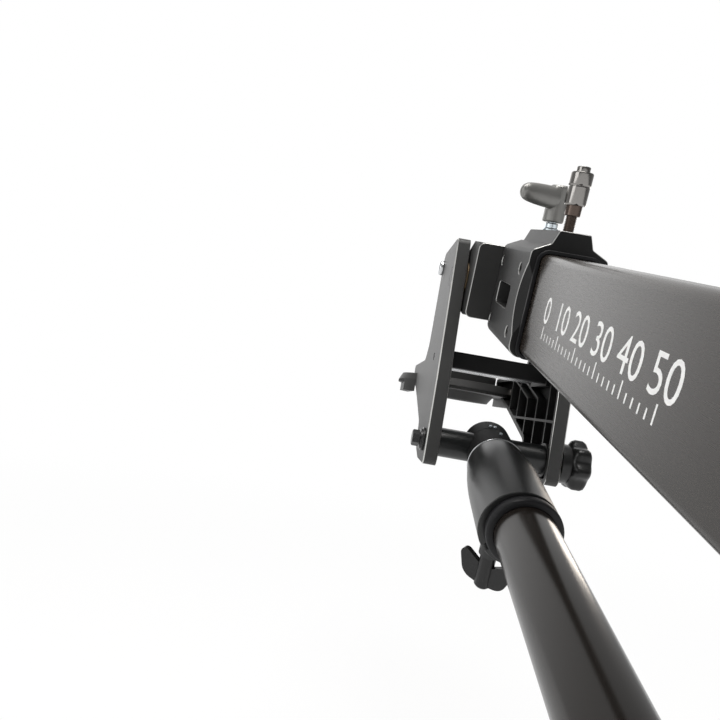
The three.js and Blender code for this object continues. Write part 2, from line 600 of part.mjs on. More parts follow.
// Sliding front boom and the pivot block on its end
function makeBoomFront() {
  const end = -innerBoom.noseInset;
  const holes = Array.from({ length: index.stops + 1 }, (unused, i) => moved(
    bore('z', index.holeRadius, 0, innerBoom.height, sides.tiny),
      -index.x - (i / index.stops) * linkage.travel, 0, 0));
  add('boomFront', 'inner_boom_tube', 'anodised', cut(boxTube(innerBoom, innerBoom.tail - linkage.reach,
    end), ...holes));

  const bushOuter = topAxle.radius + play + bush.wall;
  const flange = slab('x', roundedBox(2 * block.halfWidth, block.top + block.bottom, boom.corner),
    -block.rear, -block.rear + block.flange).translate(0, 0, (block.top - block.bottom) / 2);
  const sideShape = outline([
    [-block.rear + overrun, -block.bottom, block.flange], [-block.barrel / 2, -block.bottom, block.flange],
    [block.barrel, -block.barrel, block.barrel], [block.barrel, block.barrel, block.barrel],
    [-block.barrel / 2, block.top, block.flange], [-block.rear + overrun, block.top, block.flange],
  ]);
  const walls = [[-block.halfWidth, -block.halfWidth + block.cheek],
    [block.halfWidth - block.cheek, block.halfWidth],
    [-block.cheek, block.cheek]].map((limits) => slab('y', sideShape, ...limits, 4));
  const socket = slab('x', roundedBox(innerBoom.width + 2 * play, innerBoom.height + 2 * play,
    innerBoom.corner),
    -block.rear - overrun, end + play);
  const barrel = rod('y', block.barrel - play, -block.halfWidth, block.halfWidth, sides.round);
  const axleBore = bore('y', bushOuter + play, -block.halfWidth - overrun, block.halfWidth + overrun,
    sides.round);
  add('boomFront', 'pivot_block', 'casting', cut(join(flange, barrel, ...walls), socket, axleBore));
  for (const [name, side] of [['left', 1], ['right', -1]]) {
    const [inner, outer] = [block.cheek, plate.innerFace - play];
    const profile = [
      [topAxle.radius + play, inner], [bushOuter, inner], [bushOuter, block.halfWidth + play],
      [bush.flangeRadius, block.halfWidth + play], [bush.flangeRadius, outer],
      [topAxle.radius + play, outer],
      [topAxle.radius + play, inner],
    ];
    add('boomFront', `head_bush_${name}`, 'bronze', turned('y', side > 0 ? profile : flipped(profile),
      sides.round));
  }
}

// Head: the two ribbed side plates and what ties them together
function plateShape() {
  const p = plate;
  return outline([
    [p.rear, p.foot, p.cornerRadius], [p.heel, p.foot, p.bendRadius], [p.toe, p.toeHeight, p.bendRadius],
    [p.knee, p.kneeHeight, p.footRadius], [p.elbow, p.elbowHeight, p.bendRadius],
    [p.nose - p.noseBack, p.armTop - p.noseHeight, p.noseBack], [p.nose, p.armTop, p.noseBack],
    [p.armRoot, p.armTop, p.bendRadius], [p.front, p.frontHeight, p.bendRadius],
    [p.front - p.topSetback, p.topFront, p.footRadius], [p.rear + p.rearLean, p.topRear, p.cornerRadius],
    [p.rear, p.leanHeight, p.bendRadius],
  ]);
}

// The same outline drawn in by the rim, which bounds the pockets between the ribs.
function pocketShape() {
  const p = plate;
  const r = p.rim;
  return outline([
    [p.rear + r, p.foot + r, p.rim], [p.heel, p.foot + r, p.footRadius],
    [p.toe - r, p.toeHeight + r / 2, p.footRadius],
    [p.knee - r / 2, p.kneeHeight + r, p.rim], [p.elbow - r / 2, p.elbowHeight + r, p.footRadius],
    [p.nose - p.noseBack - r, p.armTop - p.noseHeight + r / 4, r / 4],
    [p.nose - p.noseBack - r, p.armTop - r, r / 4],
    [p.armRoot - r, p.armTop - r, p.footRadius], [p.front - r, p.frontHeight - r / 2, p.footRadius],
    [p.front - p.topSetback - r, p.topFront - r, p.rim], [p.rear + p.rearLean + r, p.topRear - r, p.rim],
    [p.rear + r, p.leanHeight, p.footRadius],
  ]);
}

function makePlates() {
  const p = plate;
  const depth = p.thickness - p.web;
  const across = [p.innerFace, p.innerFace + depth];
  const reach = [p.rear - overrun, p.nose + overrun];
  const span = [p.foot - overrun, p.topFront + overrun];
  const upright = (x, low = span[0]) => box([x - p.rib / 2, x + p.rib / 2], across, [low, span[1]]);
  // Two ribs bend under the cross beam and run on along the forward arm, upright again above the beam.
  const slope = (p.elbowHeight - p.kneeHeight) / (p.elbow - p.knee);
  const bent = (x) => slab('y', outline([
    [x - p.rib / 2, span[0]], [x + p.rib / 2, span[0]], [x + p.rib / 2, p.ribBend + slope * p.rib / 2],
    [p.elbow, p.ribBend + slope * (p.elbow - x)], [p.elbow, p.ribBend + slope * (p.elbow - x) + p.rib],
    [x - p.rib / 2, p.ribBend + p.rib - slope * p.rib / 2],
  ]), ...across);
  const rear = p.ribStart;
  const shelfAt = (z) => box(reach, across, [z - p.rib / 2, z + p.rib / 2]);
  const boss = (x, z, radius) => moved(rod('y', radius, ...across, sides.small), x, 0, z);
  const ribs = [
    upright(rear), upright(rear + 3 * p.ribPitch), upright(rear + 4 * p.ribPitch),
    ...[1, 2].flatMap((i) => [bent(rear + i * p.ribPitch), upright(rear + i * p.ribPitch, beam.high)]),
  ];
  const carried = [
    boss(0, linkage.drop, topAxle.radius * 2), boss(0, 0, crossBar.radius + p.rib),
    boss(tieRod.x, tieRod.z, tieRod.radius + p.rib), shelfAt(p.shelf), shelfAt(p.ribHigh),
      shelfAt(p.ribTop),
    box([beam.rear - p.rib, beam.rear + beam.strip + p.rib], across, [beam.low - p.rib, beam.high + p.rib]),
      ...ribs,
  ];
  const pocket = slab('y', pocketShape(), p.innerFace - overrun, p.innerFace + depth, 2);
  const hollow = cut(pocket, ...carried);
  const ends = [p.innerFace - overrun, p.outerFace + overrun];
  const through = (x, z, radius) => moved(bore('y', radius + play, ...ends, sides.small), x, 0, z);
  const ringSeat = bore('z', bowl.flangeRadius + play, bowl.flangeLow - play, bowl.flangeHigh + play,
    sides.fine);
  const solid = cut(
    slab('y', plateShape(), p.innerFace, p.outerFace, 4), hollow, moved(ringSeat, bowl.x, 0, 0),
    through(0, linkage.drop, topAxle.radius), through(0, 0, crossBar.boltRadius),
      through(tieRod.x, tieRod.z, tieRod.shank),
    through(beam.rear + beam.web / 2, (beam.low + beam.high) / 2, beam.screwRadius),
  );
  add('head', 'head_plate_left', 'casting', solid);
  add('head', 'head_plate_right', 'casting', geometryOf(solidOf(solid).mirror([0, 1, 0])));
}

function makeHead() {
  makePlates();
  const axleEnd = plate.outerFace - overrun;
  add('head', 'head_axle', 'steel', moved(rod('y', topAxle.radius, -axleEnd, axleEnd, sides.round), 0, 0,
    linkage.drop));

  const barEnd = plate.innerFace - play;
  const barHoles = [1, -1].map((side) => bore('y', crossBar.boltRadius + play,
    side > 0 ? barEnd / 2 : -barEnd - overrun, side > 0 ? barEnd + overrun : -barEnd / 2, sides.small));
  add('head', 'cross_bar', 'anodised', cut(rod('y', crossBar.radius, -barEnd, barEnd, sides.fine),
    ...barHoles));
  const washerFace = plate.outerFace + play;
  const headFace = washerFace + 2 * crossBar.washer;
  add('head', 'cross_bar_bolt', 'steel', join(
    rod('y', crossBar.boltRadius, barEnd / 2 + overrun, headFace + overrun, sides.small),
    rod('y', crossBar.headRadius, headFace, headFace + crossBar.head, 6),
  ));
  add('head', 'cross_bar_washer', 'steel', turned('y', [
    [crossBar.boltRadius + play, washerFace], [crossBar.washerRadius, washerFace],
    [crossBar.washerRadius, washerFace + crossBar.washer], [crossBar.headRadius + overrun,
      washerFace + crossBar.washer],
    [crossBar.headRadius + overrun, headFace - play], [crossBar.boltRadius + play, headFace - play],
    [crossBar.boltRadius + play, washerFace],
  ], sides.round));
  const knobFace = -plate.outerFace - play;
  add('head', 'cross_bar_knob', 'plastic', join(
    rod('y', crossBar.boltRadius, knobFace - overrun, -barEnd / 2 - overrun, sides.small),
    turned('y', [
      [0, knobFace - lobed.flange - overrun], [lobed.flangeRadius - overrun,
        knobFace - lobed.flange - overrun],
      [lobed.flangeRadius, knobFace - lobed.flange / 2], [lobed.flangeRadius - overrun, knobFace],
      [0, knobFace],
    ], sides.round),
    slab('y', lobedShape(lobed.radius, lobed.lobes, lobed.lobeDepthShare),
      knobFace - lobed.flange - lobed.length, knobFace - lobed.flange),
    rod('y', lobed.flangeRadius - lobed.tail, knobFace - lobed.flange - lobed.length - lobed.tail / 2,
      knobFace - lobed.flange, sides.round),
  ));

  add('head', 'front_tie_rod', 'blackSteel', moved(cut(
    rod('y', tieRod.radius, -barEnd, barEnd, sides.small),
    bore('y', tieRod.shank + play, barEnd / 2, barEnd + overrun, sides.tiny),
    bore('y', tieRod.shank + play, -barEnd - overrun, -barEnd / 2, sides.tiny),
  ), tieRod.x, 0, tieRod.z));
  for (const [name, side] of [['left', 1], ['right', -1]]) {
    const capFace = plate.outerFace + play;
    const profile = [
      [0, barEnd / 2 + overrun], [tieRod.shank, barEnd / 2 + overrun], [tieRod.shank, capFace],
      [tieRod.capRadius, capFace], [tieRod.capRadius, capFace + tieRod.capHeight / 2],
      [tieRod.capRadius - overrun, capFace + tieRod.capHeight - overrun / 2],
      [tieRod.capRadius / 2, capFace + tieRod.capHeight], [0, capFace + tieRod.capHeight],
    ];
    const cap = turned('y', side > 0 ? profile : flipped(profile), sides.small);
    add('head', `tie_cap_${name}`, 'steel', moved(cap, tieRod.x, 0, tieRod.z));
  }

  const beamSection = outline([
    [beam.rear, beam.low, beam.stripThick / 4], [beam.rear + beam.strip, beam.low, beam.stripThick / 4],
    [beam.rear + beam.strip, beam.low + beam.stripThick, beam.stripThick / 4],
    [beam.rear + beam.web, beam.low + beam.stripThick, beam.stripThick],
    [beam.rear + beam.web, beam.high, beam.stripThick / 2], [beam.rear, beam.high, beam.stripThick / 2],
  ]);
  const beamHole = moved(bore('y', beam.screwRadius + play, barEnd / 2, barEnd + overrun, sides.tiny),
    beam.rear + beam.web / 2, 0, (beam.low + beam.high) / 2);
  const mirrored = beamHole.clone().translate(0, -barEnd * 3 / 2 - overrun, 0);
  const stripEnds = [[barEnd - beam.stripInset, barEnd + overrun],
    [-barEnd - overrun, beam.stripInset - barEnd]].map(
    (limits) => box([beam.rear + beam.web, beam.rear + beam.strip + overrun], limits,
      [beam.low - overrun, beam.high]));
  add('head', 'cross_beam', 'casting', cut(slab('y', beamSection, -barEnd, barEnd), beamHole, mirrored,
    ...stripEnds));

  const b = bowl;
  const seat = [];
  const steps = 6;
  const lowAngle = Math.asin((b.rim - b.floor) / b.seatRadius);
  for (let i = 0; i <= steps; i += 1) {
    const angle = lowAngle * (1 - i / steps);
    seat.push([b.seatRadius * Math.cos(angle), b.rim - b.seatRadius * Math.sin(angle)]);
  }
  const profile = [
    [b.seatRadius * Math.cos(lowAngle), b.low + b.skirt / 2], [b.hubRadius - b.skirt, b.low],
    [b.hubRadius, b.flangeLow], [b.flangeRadius, b.flangeLow], [b.flangeRadius, b.flangeHigh - b.bevel],
    [b.flangeRadius - b.bevelIn, b.flangeHigh], [b.hubRadius, b.flangeHigh],
    [b.hubRadius, b.rim - overrun / 2],
    [b.hubRadius - overrun / 2, b.rim], ...seat.reverse(),
  ];
  profile.push(profile[0]);
  const outside = plate.outerFace + play;
  const lugs = [1, -1].map((side) => common(
    rod('z', b.flangeRadius, b.low, b.flangeLow + b.bevelIn, sides.fine),
    box([-b.flangeRadius, b.flangeRadius], side > 0 ? [outside,
      outside + b.lugDepth] : [-outside - b.lugDepth, -outside],
      [b.low - overrun, b.flangeHigh]),
  ));
  add('head', 'camera_bowl', 'casting', moved(join(turned('z', profile, sides.fine), ...lugs), b.x, 0, 0));
}

// Lower arm, its clamp sleeve and its front eye
function makeArm() {
  const to = linkage.reach - arm.noseInset;
  add('arm', 'arm_tube', 'anodised', pipe('x', arm.radius, arm.radius - arm.wall, arm.tailInset, to,
    sides.fine));
  const neck = turned('x', [
    [0, 0], [rearEye.neckRadius, 0], [rearEye.neckRadius, arm.tailInset + rearEye.spigot - overrun],
    [rearEye.neckRadius - overrun, arm.tailInset + rearEye.spigot], [0, arm.tailInset + rearEye.spigot],
  ], sides.round);
  const knuckle = common(rod('y', rearEye.radius, -rearEye.halfWidth, rearEye.halfWidth, sides.round),
    rod('x', rearEye.radius + overrun, -arm.radius * 2, arm.radius * 2, sides.fine));
  const axleHole = bore('y', armAxle.radius + play + bush.wall + play, -arm.radius * 2, arm.radius * 2,
    sides.small);
  const shoulder = rod('x', arm.radius, rearEye.radius / 2, arm.tailInset - play, sides.fine);
  add('arm', 'rear_eye', 'casting', cut(join(knuckle, neck, shoulder), axleHole));
  const bushEnd = cheek.gapHalf - play;
  const bushProfile = [
    [armAxle.radius + play, overrun / 2], [armAxle.radius + play + bush.wall, overrun / 2],
    [armAxle.radius + play + bush.wall, arm.radius + play], [armAxle.radius * 2, arm.radius + play],
    [armAxle.radius * 2, bushEnd], [armAxle.radius + play, bushEnd], [armAxle.radius + play, overrun / 2],
  ];
  add('arm', 'arm_bush_left', 'bronze', turned('y', bushProfile));
  add('arm', 'arm_bush_right', 'bronze', turned('y', flipped(bushProfile)));

  const s = sleeve;
  const [front, rear] = [linkage.reach - s.front, linkage.reach - s.rear];
  const grip = innerArm.radius + play;
  const outside = turned('x', [
    [0, rear], [s.radius, rear], [s.radius, front - s.flare],
    [(s.radius + s.frontRadius) / 2 + overrun / 2, front - s.flare / 2], [s.frontRadius, front], [0, front],
  ], sides.fine);
  const run = s.front - s.rear;
  outside.translate(-front, 0, 0).applyMatrix4(new THREE.Matrix4()
    .makeShear(s.leanAcross / run, -s.leanDown / run, 0, 0, 0, 0)).translate(front, 0, 0);
  const seat = bore('x', arm.radius + play, rear - overrun, to + play, sides.fine);
  const passage = bore('x', grip, rear - overrun, front + overrun, sides.fine);
  const angle = THREE.MathUtils.degToRad(s.slitAngleDegrees);
  const slit = slab('y', outline([
    [rear - overrun, -s.slitWidth / 2], [linkage.reach - s.slitStart, 0], [rear - overrun, s.slitWidth / 2],
  ]), 0, s.radius * 2).rotateX(angle);
  const wingX = linkage.reach - wing.x;
  const lug = moved(rod('z', wing.hubRadius + overrun, wing.top + play, -arm.radius / 2, sides.small),
    wingX, wing.y, 0);
  const wingHole = moved(bore('z', wing.shankRadius + play, wing.top * 2, -arm.radius / 2, sides.tiny),
    wingX, wing.y, 0);
  add('arm', 'clamp_sleeve', 'casting', cut(join(outside, lug), seat, passage, slit, wingHole));
  add('arm', 'sleeve_lip', 'rubber', turned('x', [
    [arm.radius + play, rear - play - s.lipBand], [s.lipRadius - overrun, rear - play - s.lipBand],
    [s.lipRadius, rear - play - s.lipBand / 2], [s.lipRadius - overrun / 2, rear - play],
    [arm.radius + play, rear - play], [arm.radius + play, rear - play - s.lipBand],
  ], sides.fine));
  makeWingScrew(wingX);

  const tail = arm.tailInset + rearEye.spigot + innerArm.tailGap;
  add('armFront', 'inner_arm_tube', 'anodised', pipe('x', innerArm.radius, innerArm.radius - innerArm.wall,
    tail - linkage.reach, -innerArm.noseInset, sides.fine));
  const barSpace = bore('y', crossBar.radius + play, -arm.radius * 2, arm.radius * 2, sides.fine);
  const rearHalf = turned('x', [
    [0, -eye.rear - eye.spigot], [innerArm.radius - innerArm.wall - play, -eye.rear - eye.spigot],
    [innerArm.radius - innerArm.wall - play, -innerArm.noseInset + play],
    [eye.radius, -innerArm.noseInset + play],
    [eye.radius, -eye.split], [0, -eye.split],
  ], sides.fine);
  add('armFront', 'front_eye', 'casting', cut(rearHalf, barSpace));
  const capShape = turned('x', [
    [0, eye.split], [eye.radius, eye.split], [eye.radius, eye.front - overrun],
    [eye.radius - overrun, eye.front],
    [0, eye.front],
  ], sides.fine);
  add('armFront', 'eye_cap', 'casting', cut(capShape, barSpace));
}

function makeWingScrew(wingX) {
  const low = wing.top - wing.hubHeight;
  const hub = moved(rod('z', wing.hubRadius, low, wing.top, sides.small), wingX, wing.y, 0);
  const shank = moved(rod('z', wing.shankRadius, wing.top - overrun, -arm.radius - play, sides.tiny), wingX,
    wing.y, 0);
  const shape = outline([
    [wing.hubRadius / 2, low + overrun, overrun], [wing.span * wing.footShare, low + overrun * 2,
      wing.high / 2],
    [wing.span, low + wing.high, wing.high / 2],
    [wing.span * wing.shoulderShare, low + wing.high + overrun * 2, wing.high / 4],
    [wing.hubRadius / 2, low + wing.high * wing.shoulderShare, wing.high / 4],
  ]);
  const set = THREE.MathUtils.degToRad(wing.turnDegrees);
  const blades = [set, set + Math.PI].map((turn) => slab('y', shape, -wing.thick / 2, wing.thick / 2)
    .rotateZ(turn).translate(wingX, wing.y, 0));
  add('arm', 'wing_screw', 'plastic', join(hub, shank, ...blades));
}

makeBase();
makeFulcrum();
makeBoom();
makeWeights();
makeBoomFront();
makeHead();
makeArm();

export default crane;
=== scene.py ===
# %% [markdown]
# # A camera jib crane in Blender
#
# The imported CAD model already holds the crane's size, its pieces and its joints. This lesson gives each
# piece the surface that the eye expects: smooth turned bars instead of faceted ones, softened edges,
# threads, screw heads, and a finish for every metal, plastic and rubber. Each piece is modelled in the
# frame of the member that carries it, in millimetres, and then moved to its place on the crane.

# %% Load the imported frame
import math

import bpy
import bmesh
from mathutils import Matrix, Vector


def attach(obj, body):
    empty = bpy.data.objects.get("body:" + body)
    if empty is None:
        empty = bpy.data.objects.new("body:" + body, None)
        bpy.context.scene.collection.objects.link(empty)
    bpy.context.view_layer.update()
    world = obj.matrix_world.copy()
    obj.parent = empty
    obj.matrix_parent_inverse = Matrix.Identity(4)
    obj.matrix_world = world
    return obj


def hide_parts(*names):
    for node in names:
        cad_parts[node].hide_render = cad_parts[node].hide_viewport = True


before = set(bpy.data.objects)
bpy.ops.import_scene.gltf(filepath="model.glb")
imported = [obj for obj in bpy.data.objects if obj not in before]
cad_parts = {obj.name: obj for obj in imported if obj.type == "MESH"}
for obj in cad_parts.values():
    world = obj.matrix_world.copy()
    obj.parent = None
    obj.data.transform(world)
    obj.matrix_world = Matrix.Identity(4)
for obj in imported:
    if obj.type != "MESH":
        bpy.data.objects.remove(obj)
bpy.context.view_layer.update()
bpy.context.scene.view_settings.view_transform = "Standard"

# %% [markdown]
# ## Where the members are
#
# The crane is a parallelogram: the boom and the lower arm turn about two axles of the yoke, one above
# the other, and their front ends carry the head. So four numbers place everything: the pitch at rest,
# the reach from axle to axle, the height of the upper axle, and the drop to the lower one.

# %% Frames of the members
MM = 0.001
pitch = math.radians(18)
reach = 900
fulcrum_height = 340
drop = 172.2
lower_height = fulcrum_height - drop


def frame_at(x, y, z, tilt=0.0):
    """A frame at a place in millimetres, its X axis raised by tilt."""
    return Matrix.Translation(Vector((x, y, z)) * MM) @ Matrix.Rotation(-tilt, 4, "Y")


def ahead(start, distance):
    """The same frame, moved along its own X axis."""
    return start @ Matrix.Translation((distance * MM, 0, 0))


base_frame = frame_at(0, 0, 0)
boom_frame = frame_at(0, 0, fulcrum_height, pitch)
boom_front = ahead(boom_frame, reach)
arm_frame = frame_at(0, 0, lower_height, pitch)
arm_front = ahead(arm_frame, reach)
head_frame = frame_at(reach * math.cos(pitch), 0, lower_height + reach * math.sin(pitch))
print("upper front pivot", [round(v, 4) for v in boom_front.translation])

# %% [markdown]
# ## The camera
#
# The picture is taken from beside the boom, at the height of its top, looking forward along both
# members with a wide lens. The lens and the eye point come from matching the pivots, the collar, the
# plates and both tubes to their places in the frame.

# %% Camera
eye_point = (0.28455, 0.1377, 0.47852)
eye_turn_degrees = (93.703, -9.944, -89.689)
lens_mm = 27.5
sensor_mm = 36


def linked(name, data):
    """A new object for some data, linked into the scene."""
    made = bpy.data.objects.new(name, data)
    bpy.context.scene.collection.objects.link(made)
    return made


camera = linked("camera", bpy.data.cameras.new("camera"))
camera.location = eye_point
camera.rotation_euler = [math.radians(angle) for angle in eye_turn_degrees]
camera.data.lens = lens_mm
camera.data.sensor_width = sensor_mm
camera.data.clip_start = 0.01
camera.data.clip_end = 60
bpy.context.scene.camera = camera
print("lens", camera.data.lens)

# %% [markdown]
# ## Light
#
# The studio is a white room lit from ahead and above, with its dark end behind the camera. Three kinds
# of ray see it differently. The camera sees plain white. Matt surfaces get an even, dimmer level, so
# that the lamps count. Reflections get the room itself: white ahead, fading to dim behind, and that is
# what makes a black tube bright along its far length and dark on every face turned to the camera.

# %% World
ambient = 0.5
white = 1.0
bright_side = (0.94, 0.10, 0.33)
bright_level = 2.4
room_levels = ((0.0, 0.10), (0.5, 0.28), (0.8, 0.46), (0.86, 0.56), (0.9, 0.9), (0.94, 1.2), (0.97, 1.7),
               (1.0, bright_level))


def node_tree(owner):
    """Clears an owner's nodes and returns functions that add a node and join two sockets."""
    owner.use_nodes = True
    tree = owner.node_tree
    tree.nodes.clear()

    def add(kind, **settings):
        node = tree.nodes.new(kind)
        for name, value in settings.items():
            if name in node.inputs:
                node.inputs[name].default_value = value
            else:
                setattr(node, name, value)
        return node

    return add, tree.links.new


def seen_in_gloss(add, join, path):
    """A factor that is 1 for mirror and glass rays."""
    either = add("ShaderNodeMath", operation="MAXIMUM")
    join(path.outputs["Is Glossy Ray"], either.inputs[0])
    join(path.outputs["Is Transmission Ray"], either.inputs[1])
    return either.outputs[0]


def mixed(add, join, factor, first, second):
    """A shader mix: the first node where the factor is 0, the second where it is 1."""
    mix = add("ShaderNodeMixShader")
    for source, socket in zip((factor, first.outputs[0], second.outputs[0]), mix.inputs):
        join(source, socket)
    return mix


world = bpy.data.worlds.new("studio")
bpy.context.scene.world = world
add, join = node_tree(world)
path = add("ShaderNodeLightPath")
direction = add("ShaderNodeTexCoord")
toward = add("ShaderNodeVectorMath", operation="DOT_PRODUCT")
toward.inputs[1].default_value = bright_side
join(direction.outputs["Generated"], toward.inputs[0])
halved = add("ShaderNodeMapRange", **{"From Min": -1})
join(toward.outputs["Value"], halved.inputs["Value"])
room = add("ShaderNodeValToRGB")
stops = room.color_ramp.elements
for place, level in room_levels:
    stop = stops.new(place) if 0 < place < 1 else stops[-1 if place else 0]
    stop.color = [level / bright_level] * 3 + [1]
join(halved.outputs[0], room.inputs[0])
reflected = add("ShaderNodeBackground", Strength=bright_level)
join(room.outputs[0], reflected.inputs["Color"])
lighting = add("ShaderNodeBackground", Color=(1, 1, 1, 1), Strength=ambient)
backdrop = add("ShaderNodeBackground", Color=(1, 1, 1, 1), Strength=white)
for_gloss = mixed(add, join, seen_in_gloss(add, join, path), lighting, reflected)
for_camera = mixed(add, join, path.outputs["Is Camera Ray"], for_gloss, backdrop)
join(for_camera.outputs[0], add("ShaderNodeOutputWorld").inputs["Surface"])
print("world level", ambient)

# %% Lamps


def soft_box(name, place, aim, size, watts, warmth=1.0):
    """A rectangular lamp at a place, turned to aim at a point."""
    lamp = bpy.data.lights.new(name, "AREA")
    lamp.shape = "RECTANGLE"
    lamp.size, lamp.size_y = size
    lamp.energy = watts
    lamp.color = (1.0, (1 + warmth) / 2, warmth)
    holder = linked(name, lamp)
    holder.location = place
    holder.rotation_euler = (Vector(aim) - Vector(place)).to_track_quat("-Z", "Y").to_euler()


head_middle = (0.8, 0.0, 0.55)
soft_box("overhead_box", (0.2, 0.2, 2.5), head_middle, (1.4, 1.0), 46, 0.97)
soft_box("right_strip", (2.9, -1.7, 1.1), head_middle, (0.25, 0.9), 6, 0.78)
soft_box("left_box", (-0.2, 2.2, 1.0), head_middle, (1.4, 0.9), 10)
print("lamps", len(bpy.data.lights))

# %% [markdown]
# The floor is pale and has to fade into the white behind it, yet keep the shadow under the crane. A
# matt floor alone would be grey, so plain white is mixed in for the rays that look at it: partly near
# the crane, and wholly a few metres out.

# %% Floor
floor_radius = 20
near_share = 0.9
shadow_reach = 1.3
fade_reach = 3.2
floor_drop = 0.0005

bpy.ops.mesh.primitive_circle_add(vertices=64, radius=floor_radius, fill_type="NGON",
                                  location=(0, 0, -floor_drop))
floor = bpy.context.active_object
floor.name = "studio_floor"
paint = bpy.data.materials.new("floor_paint")
add, join = node_tree(paint)
path = add("ShaderNodeLightPath")
where = add("ShaderNodeTexCoord")
away = add("ShaderNodeVectorMath", operation="LENGTH")
join(where.outputs["Object"], away.inputs[0])
fade = add("ShaderNodeMapRange", interpolation_type="SMOOTHSTEP", **{
    "From Min": shadow_reach, "From Max": fade_reach, "To Min": near_share, "To Max": 1.0,
})
join(away.outputs["Value"], fade.inputs["Value"])
looked_at = add("ShaderNodeMath", operation="MAXIMUM")
join(path.outputs["Is Camera Ray"], looked_at.inputs[0])
join(seen_in_gloss(add, join, path), looked_at.inputs[1])
share = add("ShaderNodeMath", operation="MULTIPLY")
join(looked_at.outputs[0], share.inputs[0])
join(fade.outputs[0], share.inputs[1])
matt = add("ShaderNodeBsdfDiffuse", Color=(0.92, 0.92, 0.92, 1))
glow = add("ShaderNodeEmission", Color=(1, 1, 1, 1), Strength=white)
blend = mixed(add, join, share.outputs[0], matt, glow)
join(blend.outputs[0], add("ShaderNodeOutputMaterial").inputs["Surface"])
floor.data.materials.append(paint)
print("floor radius", floor_radius)

# %% [markdown]
# ## Finishes
#
# No real surface has one flat colour. Each finish below mixes two shades of its colour in soft patches,
# varies the roughness with a finer noise, and lifts the same noise into a shallow bump. Drawn tubes get
# the noise stretched along their length, castings a fine stipple, and the lever a coarse texture. The
# stretch is made in the mapping, turned by the pitch, so that it runs along the boom.

# %% A finish from two noises
noise_band = (0.3, 0.7)


def finish(name, colour, roughness, metallic=0.0, shade=0.12, patch=60.0, grain=0.8, bump=0.05,
           spread=0.06, specular=0.5, stretch=(1, 1, 1), tilt=0.0):
    """A material. Patch and grain are sizes, and bump is the height of the grain, in millimetres."""
    material = bpy.data.materials.new(name)
    add, join = node_tree(material)
    shader = add("ShaderNodeBsdfPrincipled", Metallic=metallic, Roughness=roughness,
                 **{"Specular IOR Level": specular})
    where = add("ShaderNodeTexCoord")
    turn = add("ShaderNodeMapping", vector_type="TEXTURE", Rotation=(0, -tilt, 0), Scale=stretch)
    join(where.outputs["Object"], turn.inputs["Vector"])
    broad = add("ShaderNodeTexNoise", Scale=1 / (patch * MM), Detail=3.0)
    fine = add("ShaderNodeTexNoise", Scale=1 / (grain * MM), Detail=4.0)
    join(turn.outputs[0], broad.inputs["Vector"])
    join(turn.outputs[0], fine.inputs["Vector"])
    ramp = add("ShaderNodeValToRGB")
    for stop, place, share in zip(ramp.color_ramp.elements, noise_band, (1 - shade, 1 + shade)):
        stop.position = place
        stop.color = [c * share for c in colour] + [1]
    join(broad.outputs["Fac"], ramp.inputs[0])
    join(ramp.outputs[0], shader.inputs["Base Color"])
    gloss = add("ShaderNodeMapRange", **{
        "From Min": noise_band[0], "From Max": noise_band[1],
        "To Min": roughness - spread, "To Max": roughness + spread,
    })
    join(fine.outputs["Fac"], gloss.inputs["Value"])
    join(gloss.outputs[0], shader.inputs["Roughness"])
    relief = add("ShaderNodeBump", Strength=1.0, Distance=bump * MM)
    join(fine.outputs["Fac"], relief.inputs["Height"])
    join(relief.outputs[0], shader.inputs["Normal"])
    join(shader.outputs[0], add("ShaderNodeOutputMaterial").inputs["Surface"])
    return material


tube_black = finish("tube_black", (0.0208, 0.0166, 0.0132), 0.27, shade=0.08, patch=45, grain=0.5,
                    bump=0.0002, spread=0.01, stretch=(18, 1, 1), tilt=pitch)
arm_black = finish("arm_black", (0.012, 0.0096, 0.0078), 0.22, shade=0.08, patch=45, grain=0.5,
                   bump=0.0001, spread=0.01, stretch=(18, 1, 1), tilt=pitch, specular=0.6)
plate_black = finish("plate_black", (0.036, 0.036, 0.0352), 0.50, bump=0.006, grain=0.6,
                     spread=0.04, specular=0.36)
# A bright metal finish for the chamfers and bevels of plates, cheeks and the yoke floor: it paints the
# highlight along their rims.
plate_edge_highlight = finish("plate_edge_highlight", (0.56, 0.56, 0.54), 0.34, metallic=0.95, bump=0.0005, grain=0.4,
                    spread=0.03)
# A near-black finish: the beam and the eye halves are this black, and on the plate pockets and the collar's
# rear faces it is painted shade.
black_and_painted_shade = finish("black_and_painted_shade", (0.007, 0.007, 0.007), 0.60, bump=0.012, specular=0.3)
cast_black = finish("cast_black", (0.023, 0.023, 0.0225), 0.52, bump=0.008, grain=0.7, spread=0.04,
                    specular=0.32)
satin_black = finish("satin_black", (0.012, 0.0125, 0.0125), 0.34, bump=0.003, grain=0.6,
                     spread=0.03)
# A light metal finish for the bevels of castings: a painted highlight along their edges, which also stands
# for the paint's wear.
cast_edge_highlight = finish("cast_edge_highlight", (0.42, 0.42, 0.41), 0.34, metallic=0.9, bump=0.0005, grain=0.4,
                   spread=0.03)
bar_black = finish("bar_black", (0.005, 0.006, 0.006), 0.32, bump=0.003, grain=0.5)
knob_black = finish("knob_black", (0.007, 0.007, 0.007), 0.32, bump=0.010, grain=0.5, spread=0.05,
                    specular=0.4)
soft_black = finish("soft_black", (0.005, 0.005, 0.006), 0.48, bump=0.008, grain=0.7, specular=0.3)
bright_steel = finish("bright_steel", (0.66, 0.67, 0.68), 0.28, metallic=1.0, shade=0.08, bump=0.002,
                      grain=0.3)
ground_black = finish("ground_black", (0.022, 0.022, 0.022), 0.30, bump=0.003, grain=0.5)
zinc = finish("zinc", (0.66, 0.72, 0.76), 0.26, metallic=1.0, patch=6, bump=0.002, grain=0.4)
dark_steel = finish("dark_steel", (0.14, 0.133, 0.125), 0.17, metallic=1.0, bump=0.0006,
                    grain=0.3, spread=0.03)
